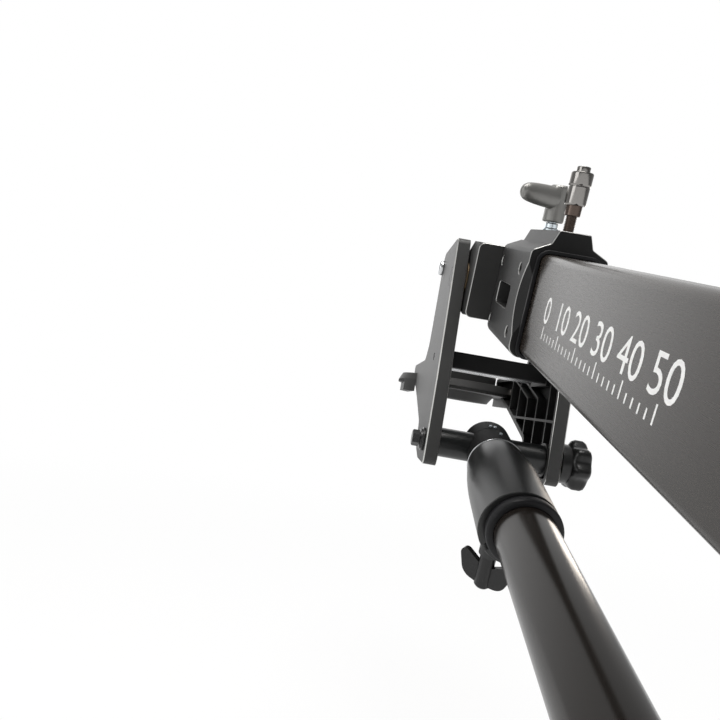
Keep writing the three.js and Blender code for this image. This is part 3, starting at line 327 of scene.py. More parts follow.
polished_steel = finish("polished_steel", (0.27, 0.26, 0.248), 0.16, metallic=1.0, bump=0.0006,
                        grain=0.3, spread=0.03)
brown_steel = finish("brown_steel", (0.11, 0.085, 0.072), 0.26, metallic=1.0, bump=0.001,
                     grain=0.3)
bearing_bronze = finish("bearing_bronze", (0.12, 0.088, 0.052), 0.42, metallic=0.9, bump=0.003,
                        grain=0.4)
lever_grey = finish("lever_grey", (0.25, 0.247, 0.236), 0.42, metallic=0.7, bump=0.07, grain=0.9,
                    spread=0.05)
iron_black = finish("iron_black", (0.024, 0.025, 0.027), 0.45, bump=0.06, grain=1.6, patch=40,
                    spread=0.07)
liner_grey = finish("liner_grey", (0.05, 0.05, 0.047), 0.5, bump=0.006)

# %% [markdown]
# The marks on the boom and the level's liquid are the two finishes that aren't metal or moulding. The
# marks are a matt white screen print. The liquid is a tinted clear body with a smooth skin.

# %% Print and liquid
mark_white = finish("mark_white", (0.86, 0.86, 0.85), 0.5, shade=0.02, bump=0.004, grain=0.5)
liquid = bpy.data.materials.new("level_liquid")
add, join = node_tree(liquid)
body = add("ShaderNodeBsdfPrincipled", Roughness=0.05, IOR=1.33, **{"Transmission Weight": 0.6})
tint = add("ShaderNodeValToRGB")
for stop, green in zip(tint.color_ramp.elements, ((0.34, 0.58, 0.08, 1), (0.52, 0.78, 0.16, 1))):
    stop.color = green
swirl = add("ShaderNodeTexNoise", Scale=120.0)
join(swirl.outputs["Fac"], tint.inputs[0])
join(tint.outputs[0], body.inputs["Base Color"])
join(body.outputs[0], add("ShaderNodeOutputMaterial").inputs["Surface"])
print("print and liquid ready")

# %% [markdown]
# ## Shapes
#
# Nearly everything on a crane like this is turned on a lathe or milled from plate and bar, so two
# makers cover most pieces: one spins a section round an axis, the other pushes a flat outline along
# one. Both work in millimetres. Primitive cylinders with a subdivision would be quicker to type, but
# their sections couldn't hold the grooves and steps that make a turned piece look turned.

# %% Outline, prism and turned piece
round_steps = 96
order = {"x": (2, 0, 1), "y": (0, 2, 1), "z": (0, 1, 2)}


def rounded(corners, steps=6):
    """A closed outline through corners (across, up, radius), each rounded by an arc."""
    points = []
    for i, (x, y, *rest) in enumerate(corners):
        here = Vector((x, y))
        before = Vector(corners[i - 1][:2]) - here
        after = Vector(corners[(i + 1) % len(corners)][:2]) - here
        radius = rest[0] if rest else 0
        half = before.angle(after) / 2
        run = min(radius / math.tan(half), before.length / 2, after.length / 2)
        if run < 1e-6:
            points.append(here)
            continue
        centre = here + (before.normalized() + after.normalized()).normalized() * (run / math.cos(half))
        start = here + before.normalized() * run - centre
        sweep = start.angle_signed(here + after.normalized() * run - centre)
        points += [centre + Matrix.Rotation(-sweep * k / steps, 2) @ start for k in range(steps + 1)]
    return points


def rounded_box(left, right, low, high, radius, steps=6):
    """The outline of a rectangle with four equal round corners."""
    corners = ((left, low), (right, low), (right, high), (left, high))
    return rounded([(*corner, radius) for corner in corners], steps)


def mesh_object(name, points, faces):
    """A linked object from points in millimetres, with all faces turned outward."""
    mesh = bpy.data.meshes.new(name)
    mesh.from_pydata([Vector(p) * MM for p in points], [], faces)
    shape = bmesh.new()
    shape.from_mesh(mesh)
    bmesh.ops.remove_doubles(shape, verts=shape.verts, dist=1e-7)
    bmesh.ops.recalc_face_normals(shape, faces=shape.faces)
    shape.to_mesh(mesh)
    shape.free()
    return linked(name, mesh)


def as_mesh(shape):
    """A mesh with the faces of an edit shape, which is freed."""
    mesh = bpy.data.meshes.new("shape")
    shape.to_mesh(mesh)
    shape.free()
    return mesh


def prism(axis, outline, low, high):
    """An outline pushed along an axis: drawn in (y, z) for x, (x, z) for y and (x, y) for z."""
    slots = order[axis]
    ends = [[(p[0], p[1], along) for p in outline] for along in (low, high)]
    points = [tuple(p[slots[i]] for i in range(3)) for end in ends for p in end]
    count = len(outline)
    faces = [list(range(count))[::-1], list(range(count, 2 * count))]
    faces += [(i, (i + 1) % count, count + (i + 1) % count, count + i) for i in range(count)]
    return mesh_object("prism", points, faces)


def block(xs, ys, zs):
    """A plain block between limits, for use as a cutter or a start."""
    (x0, x1), (y0, y1), (z0, z1) = xs, ys, zs
    return prism("z", [(x0, y0), (x1, y0), (x1, y1), (x0, y1)], z0, z1)


def turned(axis, section, count=round_steps, lobes=0):
    """A section of (radius, place) spun round an axis. A third value is how deep the lobes go there."""
    along = "xyz".index(axis)
    first, second = (along + 1) % 3, (along + 2) % 3
    closed = section[0][:2] == section[-1][:2]
    rings, points = [], []
    for radius, place, *rest in section[:-1] if closed else section:
        depth = rest[0] if rest else 0
        ring = []
        for k in range(1 if radius < 1e-6 else count):
            angle = 2 * math.pi * k / count
            r = radius - depth * (1 - math.cos(lobes * angle)) / 2
            p = [0, 0, 0]
            p[first], p[second], p[along] = r * math.cos(angle), r * math.sin(angle), place
            ring.append(len(points))
            points.append(p)
        rings.append(ring)
    pairs = list(zip(rings, rings[1:] + rings[:1])) if closed else list(zip(rings, rings[1:]))
    faces = []
    for low, high in pairs:
        for k in range(count):
            far = (k + 1) % count
            corners = [low[k % len(low)], low[far % len(low)], high[far % len(high)], high[k % len(high)]]
            face = list(dict.fromkeys(corners))
            if len(face) > 2:
                faces.append(face)
    return mesh_object("turned", points, faces)


def shifted(thing, x=0, y=0, z=0):
    thing.data.transform(Matrix.Translation(Vector((x, y, z)) * MM))
    return thing


def rotated(thing, degrees, axis):
    thing.data.transform(Matrix.Rotation(math.radians(degrees), 4, axis))
    return thing


def rod(axis, radius, low, high, count=round_steps, **place):
    """A plain cylinder, centred on its axis unless a place is given."""
    return shifted(turned(axis, [(0, low), (radius, low), (radius, high), (0, high)], count), **place)


def pipe_section(outer, inner, low, high):
    return [(inner, low), (outer, low), (outer, high), (inner, high), (inner, low)]


def raised(start, section):
    """A section whose places are counted from a face at start."""
    return [(radius, start + place, *lobe) for radius, place, *lobe in section]


def sided(side, section):
    """A section along Y, as drawn for the left (1) or turned over for the right (-1)."""
    return [(radius, side * place) for radius, place in section]


print("a turned piece has", round_steps, "sides")

# %% [markdown]
# Cutting and joining solids is how holes, pockets and slots get their crisp edges. The exact solver is
# slower than the fast one, but pieces here often share a plane, and only the exact one bears that.

# %% Cut and join


def evaluated(thing):
    """The mesh of an object with its modifiers worked in."""
    bpy.context.view_layer.update()
    result = thing.evaluated_get(bpy.context.evaluated_depsgraph_get())
    return bpy.data.meshes.new_from_object(result)


def combined(target, tools, operation):
    """The target after one cut or join with each tool. The tools are used up."""
    for tool in tools:
        step = target.modifiers.new(operation, "BOOLEAN")
        step.operation = operation
        step.solver = "EXACT"
        step.object = tool
    mesh = evaluated(target)
    target.modifiers.clear()
    target.data = mesh
    for tool in tools:
        bpy.data.objects.remove(tool)
    return target


def cut(target, *tools):
    return combined(target, tools, "DIFFERENCE")


def join_solids(target, *tools):
    return combined(target, tools, "UNION")


def overlap(target, tool):
    return combined(target, [tool], "INTERSECT")


print("solids can be cut and joined")

# %% [markdown]
# ## Putting a piece on the crane
#
# Every real edge is broken, so a piece gets a small bevel; on painted and anodised parts the bevel can
# take a second, lighter finish: a painted highlight where the light catches, which also stands for the
# paint's wear there. Where only some edges are broken, a weight per edge says how much of the bevel each
# one gets. The piece then rides on its body and stands for its CAD node. A member below is a frame to
# draw in, with the body that carries what is drawn there.

# %% Dress a piece
on_base = (base_frame, "base")
on_table = (base_frame, "turntable_body")
on_boom = (boom_frame, "boom")
on_collar = (boom_front, "boom")
on_inner = (boom_front, "boom_front")
on_arm = (arm_frame, "lower_arm")
on_sleeve = (arm_front, "lower_arm")
on_eye = (arm_front, "lower_front")
on_head = (head_frame, "head")
sides = ((1, "left"), (-1, "right"))


def weigh_edges(mesh, back, share):
    """Stores on each sharp edge the share of the bevel that its middle gets, asked in millimetres."""
    weights = mesh.attributes.new("bevel_weight_edge", "FLOAT", "EDGE")
    for line in mesh.edges:
        if line.use_edge_sharp:
            first, second = (mesh.vertices[i].co for i in line.vertices)
            weights.data[line.index].value = share(*(back @ ((first + second) / 2) / MM))


def dress(piece, name, member, material, nodes=(), edge=0.5, edge_highlight_finish=None, crease=32, share=None):
    """Names and places a piece, softens its edges, and hands it to the body that carries it."""
    where, carrier = member
    piece.name = name
    mesh = piece.data
    mesh.transform(where)
    mesh.materials.clear()
    mesh.materials.append(material)
    for face in mesh.polygons:
        face.use_smooth = True
        face.material_index = 0
    mesh.set_sharp_from_angle(angle=math.radians(crease))
    if edge:
        soft = piece.modifiers.new("edge", "BEVEL")
        soft.width = edge * MM
        soft.segments = 2
        soft.limit_method = "ANGLE"
        soft.angle_limit = math.radians(crease)
        soft.use_clamp_overlap = share is None
        if share:
            soft.limit_method = "WEIGHT"
            weigh_edges(mesh, where.inverted(), share)
        # The bevel faces take the second finish, which is a painted highlight.
        if edge_highlight_finish:
            mesh.materials.append(edge_highlight_finish)
            soft.material = 1
    even = piece.modifiers.new("even", "WEIGHTED_NORMAL")
    even.keep_sharp = True
    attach(piece, carrier)
    if nodes:
        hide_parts(*nodes)
    return piece


def refinish(piece, member, material, chosen):
    """Gives another finish to the faces whose middle and normal, in the member's frame, are chosen."""
    piece.data.materials.append(material)
    back = member[0].inverted()
    for face in piece.data.polygons:
        if chosen(*(back @ face.center / MM), *(back.to_3x3() @ face.normal)):
            face.material_index = len(piece.data.materials) - 1


# %% [markdown]
# ## The boom tube
#
# The outer boom is a drawn rectangular tube with round corners, anodised almost black with a warm
# sheen. It could stay a box with a bevel, but the corners are the brightest lines of the picture, so
# they are true arcs with many steps. The tube is hollow, because the front end and the window show it.

# %% Boom tube
boom = dict(height=80, width=43.4, corner=6, wall=3, rear=-430, nose=782)
tilt_bush_radius = 12.7
weight_bar_radius = 12.4
weight_bar_x = -382
play = 0.3
past = 2


def tube_outline(width, height, corner, steps=10):
    return rounded_box(-width / 2, width / 2, -height / 2, height / 2, corner, steps)


def box_tube(width, height, corner, wall, rear, nose):
    """A rectangular tube along X from rear to nose."""
    skin = prism("x", tube_outline(width, height, corner), rear, nose)
    hollow = tube_outline(width - 2 * wall, height - 2 * wall, corner - wall)
    return cut(skin, prism("x", hollow, rear - past, nose + past))


tube = cut(
    box_tube(**boom),
    rod("y", tilt_bush_radius + play, -boom["width"], boom["width"]),
    rod("y", weight_bar_radius + play, -boom["width"], boom["width"], x=weight_bar_x),
)
dress(tube, "boom_tube_skin", on_boom, tube_black, ["boom_tube"], edge=0.4)
print("boom tube", len(tube.data.polygons), "faces")

# %% [markdown]
# ## Marks on the boom
#
# The tube's side carries a white screen print. Here it is a plain scale: ticks and numbers, as on a
# rule. Text objects give clean numerals; each is turned into a mesh so that it can lie on the face.

# %% Scale on both sides
scale_start = 528
scale_step = 34
scale_numbers = ("0", "10", "20", "30", "40", "50")
ticks_per_number = 5
tick_low = -17
tick_long = 9
tick_short = 5
tick_width = 1.4
numeral_height = 19
size_for_height = 1.4
print_lift = 0.06


def numeral(text, height):
    """The flat mesh of one number."""
    curve = bpy.data.curves.new("numeral", "FONT")
    curve.body = text
    curve.size = height * size_for_height
    curve.align_x = "CENTER"
    curve.resolution_u = 4
    holder = linked("numeral", curve)
    mesh = evaluated(holder)
    bpy.data.objects.remove(holder)
    return mesh


def scale_print(side):
    """All ticks and numerals of one side as one flat mesh, drawn across and up, then stood on the face."""
    shape = bmesh.new()
    span = scale_step * (len(scale_numbers) - 1)
    minor = scale_step / ticks_per_number
    for i in range(round(span / minor) + 1):
        middle = i * minor
        top = tick_low + (tick_long if i % ticks_per_number == 0 else tick_short)
        corners = [(middle - tick_width / 2, tick_low), (middle + tick_width / 2, tick_low),
                   (middle + tick_width / 2, top), (middle - tick_width / 2, top)]
        shape.faces.new([shape.verts.new((x, z, 0)) for x, z in corners])
    for i, text in enumerate(scale_numbers):
        mesh = numeral(text, numeral_height)
        mesh.transform(Matrix.Translation((i * scale_step, tick_low + tick_long + 2, 0)))
        shape.from_mesh(mesh)
        bpy.data.meshes.remove(mesh)
    mesh = as_mesh(shape)
    start = scale_start + (span if side > 0 else 0)
    face = side * (boom["width"] / 2 + print_lift)
    stand = Matrix(((-side, 0, 0, start), (0, 0, side, face), (0, 1, 0, 0), (0, 0, 0, 1)))
    mesh.transform(Matrix.Diagonal((MM, MM, MM, 1)) @ stand)
    return linked("scale", mesh)


for side, word in sides:
    dress(scale_print(side), "boom_scale_" + word, on_boom, mark_white, edge=0)
print("scale reads", scale_numbers[0], "to", scale_numbers[-1])

# %% [markdown]
# ## The collar
#
# A machined collar holds the end of the boom tube and guides the inner tube. Its section has a raised
# boss on top for the two controls, and each side has a rounded window, four screws and a scalloped rear
# edge. Pushing the section along the boom and cutting the rest is how it is milled too. Only the outer
# edges are broken, and their bevels get a lighter finish, a painted highlight; the faces that look back
# get a near-black finish, a painted shade.

# %% Collar
collar = dict(front=-48, boss_front=-58, rear=-151, side=29.8, low=-43, shoulder=41.5, crown=48.4, boss=12,
              boss_foot=16, boss_top=59, corner=9)
window = dict(rear=-110, front=-62, high=9, low=-11, radius=4)
inner_boom = dict(height=66, width=30, corner=4, wall=3, rear=194 - reach, nose=-26)
liner_wall = 3.2
ratchet_x = -79
index_x = -130
index_step = 75
stud_bore, plunger_bore = 4.3, 4.7
c = collar
section = rounded([
    (-c["side"], c["low"], c["corner"]), (c["side"], c["low"], c["corner"]), (c["side"], c["shoulder"], 4.5),
    (c["boss_foot"], c["crown"], 2.4), (c["boss"], c["boss_top"], 1.5), (-c["boss"], c["boss_top"], 1.5),
    (-c["boss_foot"], c["crown"], 2.4), (-c["side"], c["shoulder"], 4.5),
], 8)
tube_end = boom["nose"] - reach
opening = tube_outline(boom["width"] + 2 * play, boom["height"] + 2 * play, boom["corner"])
around = 2 * liner_wall + 4 * play
guide = tube_outline(inner_boom["width"] + around, inner_boom["height"] + around,
                     inner_boom["corner"] + liner_wall)
window_outline = rounded_box(window["rear"], window["front"], window["low"], window["high"], window["radius"])
scallop = dict(radius=62, slope=34, x=-138, z=3)
slope = math.radians(scallop["slope"])
away_x = scallop["x"] - scallop["radius"] * math.sin(slope)
away_y = c["side"] + scallop["radius"] * math.cos(slope)
scallops = []
for side, word in sides:
    cutter = rotated(rod("x", scallop["radius"], -90, 90, 160), side * scallop["slope"], "Z")
    scallops.append(shifted(cutter, x=away_x, y=side * away_y, z=scallop["z"]))
body = cut(
    prism("x", section, c["rear"], c["front"]),
    *scallops,
    block((c["boss_front"], c["front"] + past), (-c["side"], c["side"]), (c["crown"], c["boss_top"] + past)),
    prism("x", opening, c["rear"] - past, tube_end + play),
    prism("x", guide, c["rear"] - past, c["front"] + past),
    prism("y", window_outline, -40, 40),
    rod("z", stud_bore, 0, c["boss_top"] + past, 48, x=ratchet_x),
    rod("z", plunger_bore, 0, c["boss_top"] + past, 48, x=index_x),
)
recess = dict(radius=4.6, depth=5.2)
screw_spots = [(-54.5, 27), (-54.5, -28.5), (-128, 25.5), (-131, -27)]
recesses = [rod("y", recess["radius"], side * c["side"] - recess["depth"], side * c["side"] + recess["depth"],
                48, x=x, z=z)
            for x, z in screw_spots for side, word in sides]
body = cut(body, *recesses)


def collar_share(x, y, z):
    """1 for an edge of the outer skin: sides, boss, window and scallop, and 0 for one in a bore."""
    on_side = abs(y) > c["side"] - 0.05
    on_top = z > c["shoulder"] - 2
    on_low_corner = z < c["low"] + c["corner"] and abs(y) > 23
    return float(on_side or on_top or on_low_corner)


def faces_back(x, y, z, nx, ny, nz):
    """Whether a face is the collar's rear end or a scallop in it."""
    if nx < -0.9:
        return x < c["rear"] + 1 and z < c["shoulder"]
    return nx < -0.4 and abs(ny) > 0.6 and x < scallop["x"] + 1


# The collar's bevels get a painted highlight, and its rear end and scallops a painted shade.
dress(body, "collar_body", on_collar, cast_black, ["boom_collar"], 0.6, cast_edge_highlight, share=collar_share)
refinish(body, on_collar, black_and_painted_shade, faces_back)
print("collar", len(body.data.polygons), "faces")

# %% [markdown]
# ## Screws
#
# Socket screws close the collar, and more of them, of other sizes, hold the beam and the arm's eye. One
# maker gives a head with a broken edge and a six-sided recess; a list of places turns it into one mesh,
# so a ring of screws is a single piece.

# %% Socket screws


def socket_head(radius, height):
    """A screw head along +Z from 0 to height, with its hexagonal socket."""
    bevel = radius * 0.15
    section = [(0, 0), (radius, 0), (radius, height - bevel), (radius - bevel, height), (0, height)]
    head = turned("z", section, 40)
    return cut(head, rod("z", radius * 0.52, height * 0.4, height + 1, 6))


def many(source, places):
    """Copies of one mesh at several matrices, in millimetres, as a single object."""
    shape = bmesh.new()
    for place in places:
        copy = source.data.copy()
        copy.transform(Matrix.Translation(place.translation * MM) @ place.to_3x3().to_4x4())
        shape.from_mesh(copy)
        bpy.data.meshes.remove(copy)
    bpy.data.objects.remove(source)
    return linked("group", as_mesh(shape))


def facing(direction, x, y, z):
    """A matrix that turns +Z to a direction and moves it to a place in millimetres."""
    turn = Vector((0, 0, 1)).rotation_difference(Vector(direction)).to_matrix().to_4x4()
    return Matrix.Translation((x, y, z)) @ turn


def side_screws(radius, height, foot, spots):
    """Screws in both sides of the crane, whose heads start at foot."""
    return many(socket_head(radius, height), [facing((0, side, 0), x, side * foot, z)
                                              for x, z in spots for side, word in sides])


collar_screws = side_screws(4.2, 3.8, c["side"] - 5, screw_spots)
dress(collar_screws, "collar_screws", on_collar, dark_steel, edge=0.12)
print("screws", len(screw_spots) * 2)

# %% [markdown]
# ## Ratchet lever
#
# The lever is a die casting with a coarse graphite paint: a round hub, and a thick handle that leaves
# it in one flowing root and ends blunt. Joining the two as solids leaves a hard corner there, so the
# join is remeshed into fine cells and smoothed, as filler would do on the pattern.

# %% Ratchet lever and its stud
hub_radius = 9
hub_low, hub_high = 67, 98
handle_height = 87
handle_turn = 36
handle_stations = [
    (0, 7.4, 9.6), (10, 7.0, 9.4), (20, 6.7, 9.1), (30, 6.3, 8.5), (37, 5.9, 7.8), (41.5, 5.3, 6.9),
    (44.5, 4.2, 5.4), (46.4, 2.4, 3.2), (47, 0.8, 1.2),
]


def handle_solid():
    """Ellipses of (out, half width, half height) strung along +Y."""
    points, faces = [], []
    count = 40
    for out, across, up in handle_stations:
        for k in range(count):
            angle = 2 * math.pi * k / count
            points.append((across * math.cos(angle), out, handle_height + up * math.sin(angle)))
    for s in range(len(handle_stations) - 1):
        for k in range(count):
            near, far = s * count, (s + 1) * count
            faces.append((near + k, near + (k + 1) % count, far + (k + 1) % count, far + k))
    last = (len(handle_stations) - 1) * count
    faces += [list(range(count))[::-1], list(range(last, last + count))]
    return mesh_object("handle", points, faces)


def remeshed(thing, cell, rounds):
    """One skin over all joined solids, smoothed."""
    melt = thing.modifiers.new("melt", "REMESH")
    melt.mode = "VOXEL"
    melt.voxel_size = cell * MM
    ease = thing.modifiers.new("ease", "SMOOTH")
    ease.factor = 0.5
    ease.iterations = rounds
    return combined(thing, [], "UNION")


hub = turned("z", [
    (0, hub_low), (hub_radius - 0.7, hub_low), (hub_radius, hub_low + 0.7), (hub_radius, hub_high - 1.8),
    (hub_radius - 1.5, hub_high), (0, hub_high),
])
lever = remeshed(join_solids(hub, handle_solid()), 0.5, 5)
lever = cut(lever, rod("z", stud_bore, 0, 80.3, 48))
shifted(rotated(lever, handle_turn, "Z"), x=ratchet_x)
dress(lever, "lever_casting", (boom_front, "ratchet"), lever_grey, ["ratchet_lever"], edge=0, crease=60)
nut = raised(c["boss_top"] + play, [
    (4, 0), (6.2, 0), (6.6, 0.5), (6.6, 1.9), (6.2, 2.3), (5.6, 2.7), (5.6, 6.2), (5.0, 6.9), (4, 7),
])
stud = turned("z", [(0, 37.2), (4, 37.2), *nut, (4, 79.5), (3.5, 80), (0, 80)], 64)
shifted(stud, x=ratchet_x)
dress(stud, "ratchet_stud_turned", on_collar, zinc, ["ratchet_stud"], edge=0.15)
print("lever reaches", handle_stations[-1][0], "mm")

# %% [markdown]
# ## Index plunger
#
# A spring plunger drops its pin into holes of the inner boom. The body is threaded into the boss and
# shows a few bronze-brown turns of thread; the knob over it is polished black steel with a step and a
# small cap. Thread is a section with teeth: at this size a helix can't be told from rings.

# %% Index plunger
thread_pitch = 1.25
thread_low, thread_high = 40.3, 71.6
thread_radius = 4.4
root = thread_radius - 0.6
thread_turns = int((thread_high - thread_low) / thread_pitch)
thread = [(radius, thread_low + (turn + share) * thread_pitch) for turn in range(thread_turns)
          for radius, share in ((root, 0.12), (thread_radius, 0.42), (thread_radius, 0.58), (root, 0.88))]
threaded = cut(
    turned("z", [(0, thread_low), (root, thread_low), *thread, (root, thread_high), (5.7, thread_high),
                 (6.1, thread_high + 0.4), (6.1, 86), (0, 86)], 64),
    rod("z", 3.1, thread_low - past, 88, 48),
)
shifted(threaded, x=index_x)
dress(threaded, "plunger_body", on_collar, brown_steel, ["index_body"], edge=0)
knob = turned("z", [
    (0, 33.3), (2.5, 33.3), (2.8, 35.3), (2.8, 92.3), (6.4, 92.3), (6.4, 79.6), (7.6, 79.6), (8.1, 80.2),
    (8.2, 81.0), (8.2, 93.2), (7.9, 93.8), (7.9, 94.5), (8.3, 94.9), (8.6, 95.6), (8.6, 103.4), (8.1, 104.5),
    (7.3, 104.8), (5.2, 104.8), (5.2, 108.3), (4.7, 108.9), (0, 108.9),
], 80)
shifted(knob, x=index_x)
dress(knob, "plunger_knob", (boom_front, "index"), polished_steel, ["index_pin"], edge=0.15, crease=40)
print("thread turns", thread_turns)

# %% [markdown]
# ## Gasket, liners and inner boom
#
# Between the collar and the tube sits a thin soft ring. Inside, two plastic liners guide the inner
# tube, which telescopes out of the boom. These show through the window and when the boom is drawn out.

# %% Gasket, liners, inner boom
gasket = dict(wall=3.4, thick=3)
gasket_low = c["rear"] - play - gasket["thick"]
gasket_outline = tube_outline(boom["width"] + 2 * gasket["wall"], boom["height"] + 2 * gasket["wall"],
                              boom["corner"] + gasket["wall"])
ring = cut(
    prism("x", gasket_outline, gasket_low, c["rear"] - play),
    prism("x", opening, gasket_low - past, c["rear"] + past),
)
dress(ring, "soft_gasket", on_collar, soft_black, ["collar_gasket"], edge=0.5)
index_holes = [rod("z", 3.4, 20, 40, 40, x=index_x - i * index_step) for i in range(7)]
inner = cut(box_tube(**inner_boom), *index_holes)
dress(inner, "inner_boom_skin", on_inner, tube_black, ["inner_boom_tube"], edge=0.4)
for name in ("slide_liner_front", "slide_liner_rear"):
    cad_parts[name].data.materials.clear()
    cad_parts[name].data.materials.append(liner_grey)
print("index holes", len(index_holes))

# %% [markdown]
# ## Pivot block
#
# The block on the inner boom's end fills the space between the side plates and turns about the upper
# axle. A flange, a barrel and three cheeks are joined; each cheek's outline wraps round the barrel.

# %% Pivot block
pivot = dict(rear=-44, top=40, bottom=-33, flange=13, barrel=25, half=52.6, cheek=16)
p = pivot
cheek_outline = rounded([
    (p["rear"] + past, p["bottom"], 13), (-p["barrel"] / 2, p["bottom"], 13), (p["barrel"], -p["barrel"], 25),
    (p["barrel"], p["barrel"], 25), (-p["barrel"] / 2, p["top"], 13), (p["rear"] + past, p["top"], 8),
], 10)
flange_outline = rounded_box(-p["half"], p["half"], p["bottom"], p["top"], 6)
tube_seat = tube_outline(inner_boom["width"] + 2 * play, inner_boom["height"] + 2 * play,
                         inner_boom["corner"])
casting = join_solids(
    prism("x", flange_outline, p["rear"], p["rear"] + p["flange"]),
    rod("y", p["barrel"] - play, -p["half"], p["half"]),
    prism("y", cheek_outline, -p["half"], -p["half"] + p["cheek"]),
    prism("y", cheek_outline, p["half"] - p["cheek"], p["half"]),
    prism("y", cheek_outline, -p["cheek"], p["cheek"]),
)
casting = cut(
    casting,
    prism("x", tube_seat, p["rear"] - past, inner_boom["nose"] + play),
    rod("y", 13, -p["half"] - past, p["half"] + past),
)


def block_share(x, y, z):
    """1 for an edge of the rear face's rim, and 0 for any other."""
    return float(x < p["rear"] + 0.01 and (abs(y) > 20 or abs(z) > 38))


# The bevel round the rear face's rim gets a painted highlight.
dress(casting, "pivot_casting", on_inner, cast_black, ["pivot_block"], 0.7, cast_edge_highlight, share=block_share)
for side, word in sides:
    section = [(10.3, 16), (12.7, 16), (12.7, 52.9), (17, 52.9), (17, 54.1), (10.3, 54.1), (10.3, 16)]
    bush = turned("y", sided(side, section), 72)
    dress(bush, "head_bush_turned_" + word, on_inner, bearing_bronze, ["head_bush_" + word], edge=0.2)
print("pivot casting", len(casting.data.polygons), "faces")

# %% [markdown]
# ## Side plates
#
# The two side plates carry the bowl. Outside they are smooth; inside they are pocketed between thin
# ribs, with bosses at every bolt. As on the mill, the pockets are cut as one shape from which ribs and
# bosses are first taken away, and the pockets are given a near-black finish as painted shade. The rims
# are chamfered in the outline itself, wider outside, and those faces get a bright metal finish, as bare
# metal, which also paints the highlight along the rims. The right plate is the left one mirrored.

# %% Side plates
plate = dict(outer=68.2, thick=13.8, web=4.8, rib=2.6)
inside = plate["outer"] - plate["thick"]
floor_of_pocket = plate["outer"] - plate["web"]
plate_corners = [
    (-20, -23.5, 8), (32, -23.5, 20), (64, -14, 20), (77, 15, 14), (154, 44, 20), (245, 76, 6), (251, 92, 6),
    (120, 92, 20), (103, 110, 20), (94, 221, 14), (-8, 213, 8), (-20, 63, 20),
]
pocket_corners = [
    (-15, -18.5, 5), (32, -18.5, 14), (59, -11.5, 14), (74.5, 20, 5), (151.5, 49, 14), (240, 77.25, 1.25),
    (240, 87, 1.25), (115, 87, 14), (98, 107.5, 14), (89, 216, 5), (-3, 208, 5), (-15, 63, 14),
]
tie_spot = (92, 203)
beam_spot = (32, 89)
bowl_x = 255
rib_bend = 62
arm_slope = (44 - 15) / (154 - 77)
under, over = -30, 225
across = (inside, floor_of_pocket)


def inset(outline, by):
    """The outline moved inward, each point along the middle of its two edges."""
    moved = []
    for i, here in enumerate(outline):
        before = (here - outline[i - 1]).normalized()
        after = (outline[(i + 1) % len(outline)] - here).normalized()
        inward = Vector((-(before.y + after.y), before.x + after.x)).normalized()
        moved.append(here + inward * by)
    return moved


def broken_prism(outline, low, high, low_break, high_break):
    """A prism along Y whose two rims are chamfered, by different widths."""
    rings = [(inset(outline, low_break), low), (outline, low + low_break), (outline, high - high_break),
             (inset(outline, high_break), high)]
    points = [(p[0], place, p[1]) for ring, place in rings for p in ring]
    count = len(outline)
    faces = [list(range(count)), list(range(3 * count, 4 * count))[::-1]]
    for start in (0, count, 2 * count):
        for i in range(count):
            far = (i + 1) % count
            faces.append((start + i, start + far, start + count + far, start + count + i))
    return mesh_object("broken", points, faces)


def side_plate():
    """The left plate: outline, chamfered rims, pockets round the ribs and bosses, and its holes."""
    pocket = prism("y", rounded(pocket_corners, 8), inside - past, floor_of_pocket)
    half_rib = plate["rib"] / 2
    keep = [block((x - half_rib, x + half_rib), across, (low, over))
            for x, low in ((6, under), (43, 98), (80, 98), (117, under), (154, under))]
    keep += [block((-25, 260), across, (z - half_rib, z + half_rib)) for z in (40, 132, 176)]
    for x in (43, 80):
        far_z = rib_bend + arm_slope * (154 - x)
        keep.append(prism("y", [
            (x - half_rib, under), (x + half_rib, under), (x + half_rib, rib_bend + arm_slope * half_rib),
            (154, far_z), (154, far_z + plate["rib"]),
            (x - half_rib, rib_bend + plate["rib"] - arm_slope * half_rib),
        ], *across))
    keep += [block((22.4, 77.6), across, (77.4, 100.6))]
    keep += [rod("y", r, *across, 64, x=x, z=z)
             for x, z, r in ((0, drop, 20), (0, 0, 17.4), (*tie_spot, 10.6))]
    pocket = cut(pocket, *keep)
    ends = (inside - past, plate["outer"] + past)
    holes = [rod("y", r, *ends, 64, x=x, z=z)
             for x, z, r in ((0, drop, 10.3), (0, 0, 6.3), (*tie_spot, 5.3), (*beam_spot, 4.3))]
    ring_seat = rod("z", 89.3, 63.7, 78.3, x=bowl_x)
    solid = broken_prism(rounded(plate_corners, 10), inside, plate["outer"], 0.4, 1.1)
    return cut(solid, pocket, ring_seat, *holes)


def mirrored(thing):
    copy = linked("mirrored", thing.data.copy())
    copy.data.transform(Matrix.Diagonal((1, -1, 1, 1)))
    copy.data.flip_normals()
    return copy


def near_outline(x, z):
    """Whether a place is on the plate's outer edge and not in its pocket."""
    spot = Vector((x, z))
    ends = [Vector(corner) for corner in rounded(plate_corners, 10)]
    for start, end in zip(ends, ends[1:] + ends[:1]):
        along = end - start
        share = max(0, min(1, (spot - start).dot(along) / along.length_squared))
        if (start + along * share - spot).length < 0.8:
            return True
    return False


def in_pocket(x, y, z, *normal):
    """Whether a face belongs to the pocket's floor or walls."""
    return inside + 0.2 < abs(y) < floor_of_pocket + 0.2 and not near_outline(x, z)


def on_chamfer(x, y, z, nx, ny, nz):
    """Whether a face is part of a broken rim."""
    return abs(abs(ny) - 0.707) < 0.02 and (abs(nz) > 0.01 or x < 0)


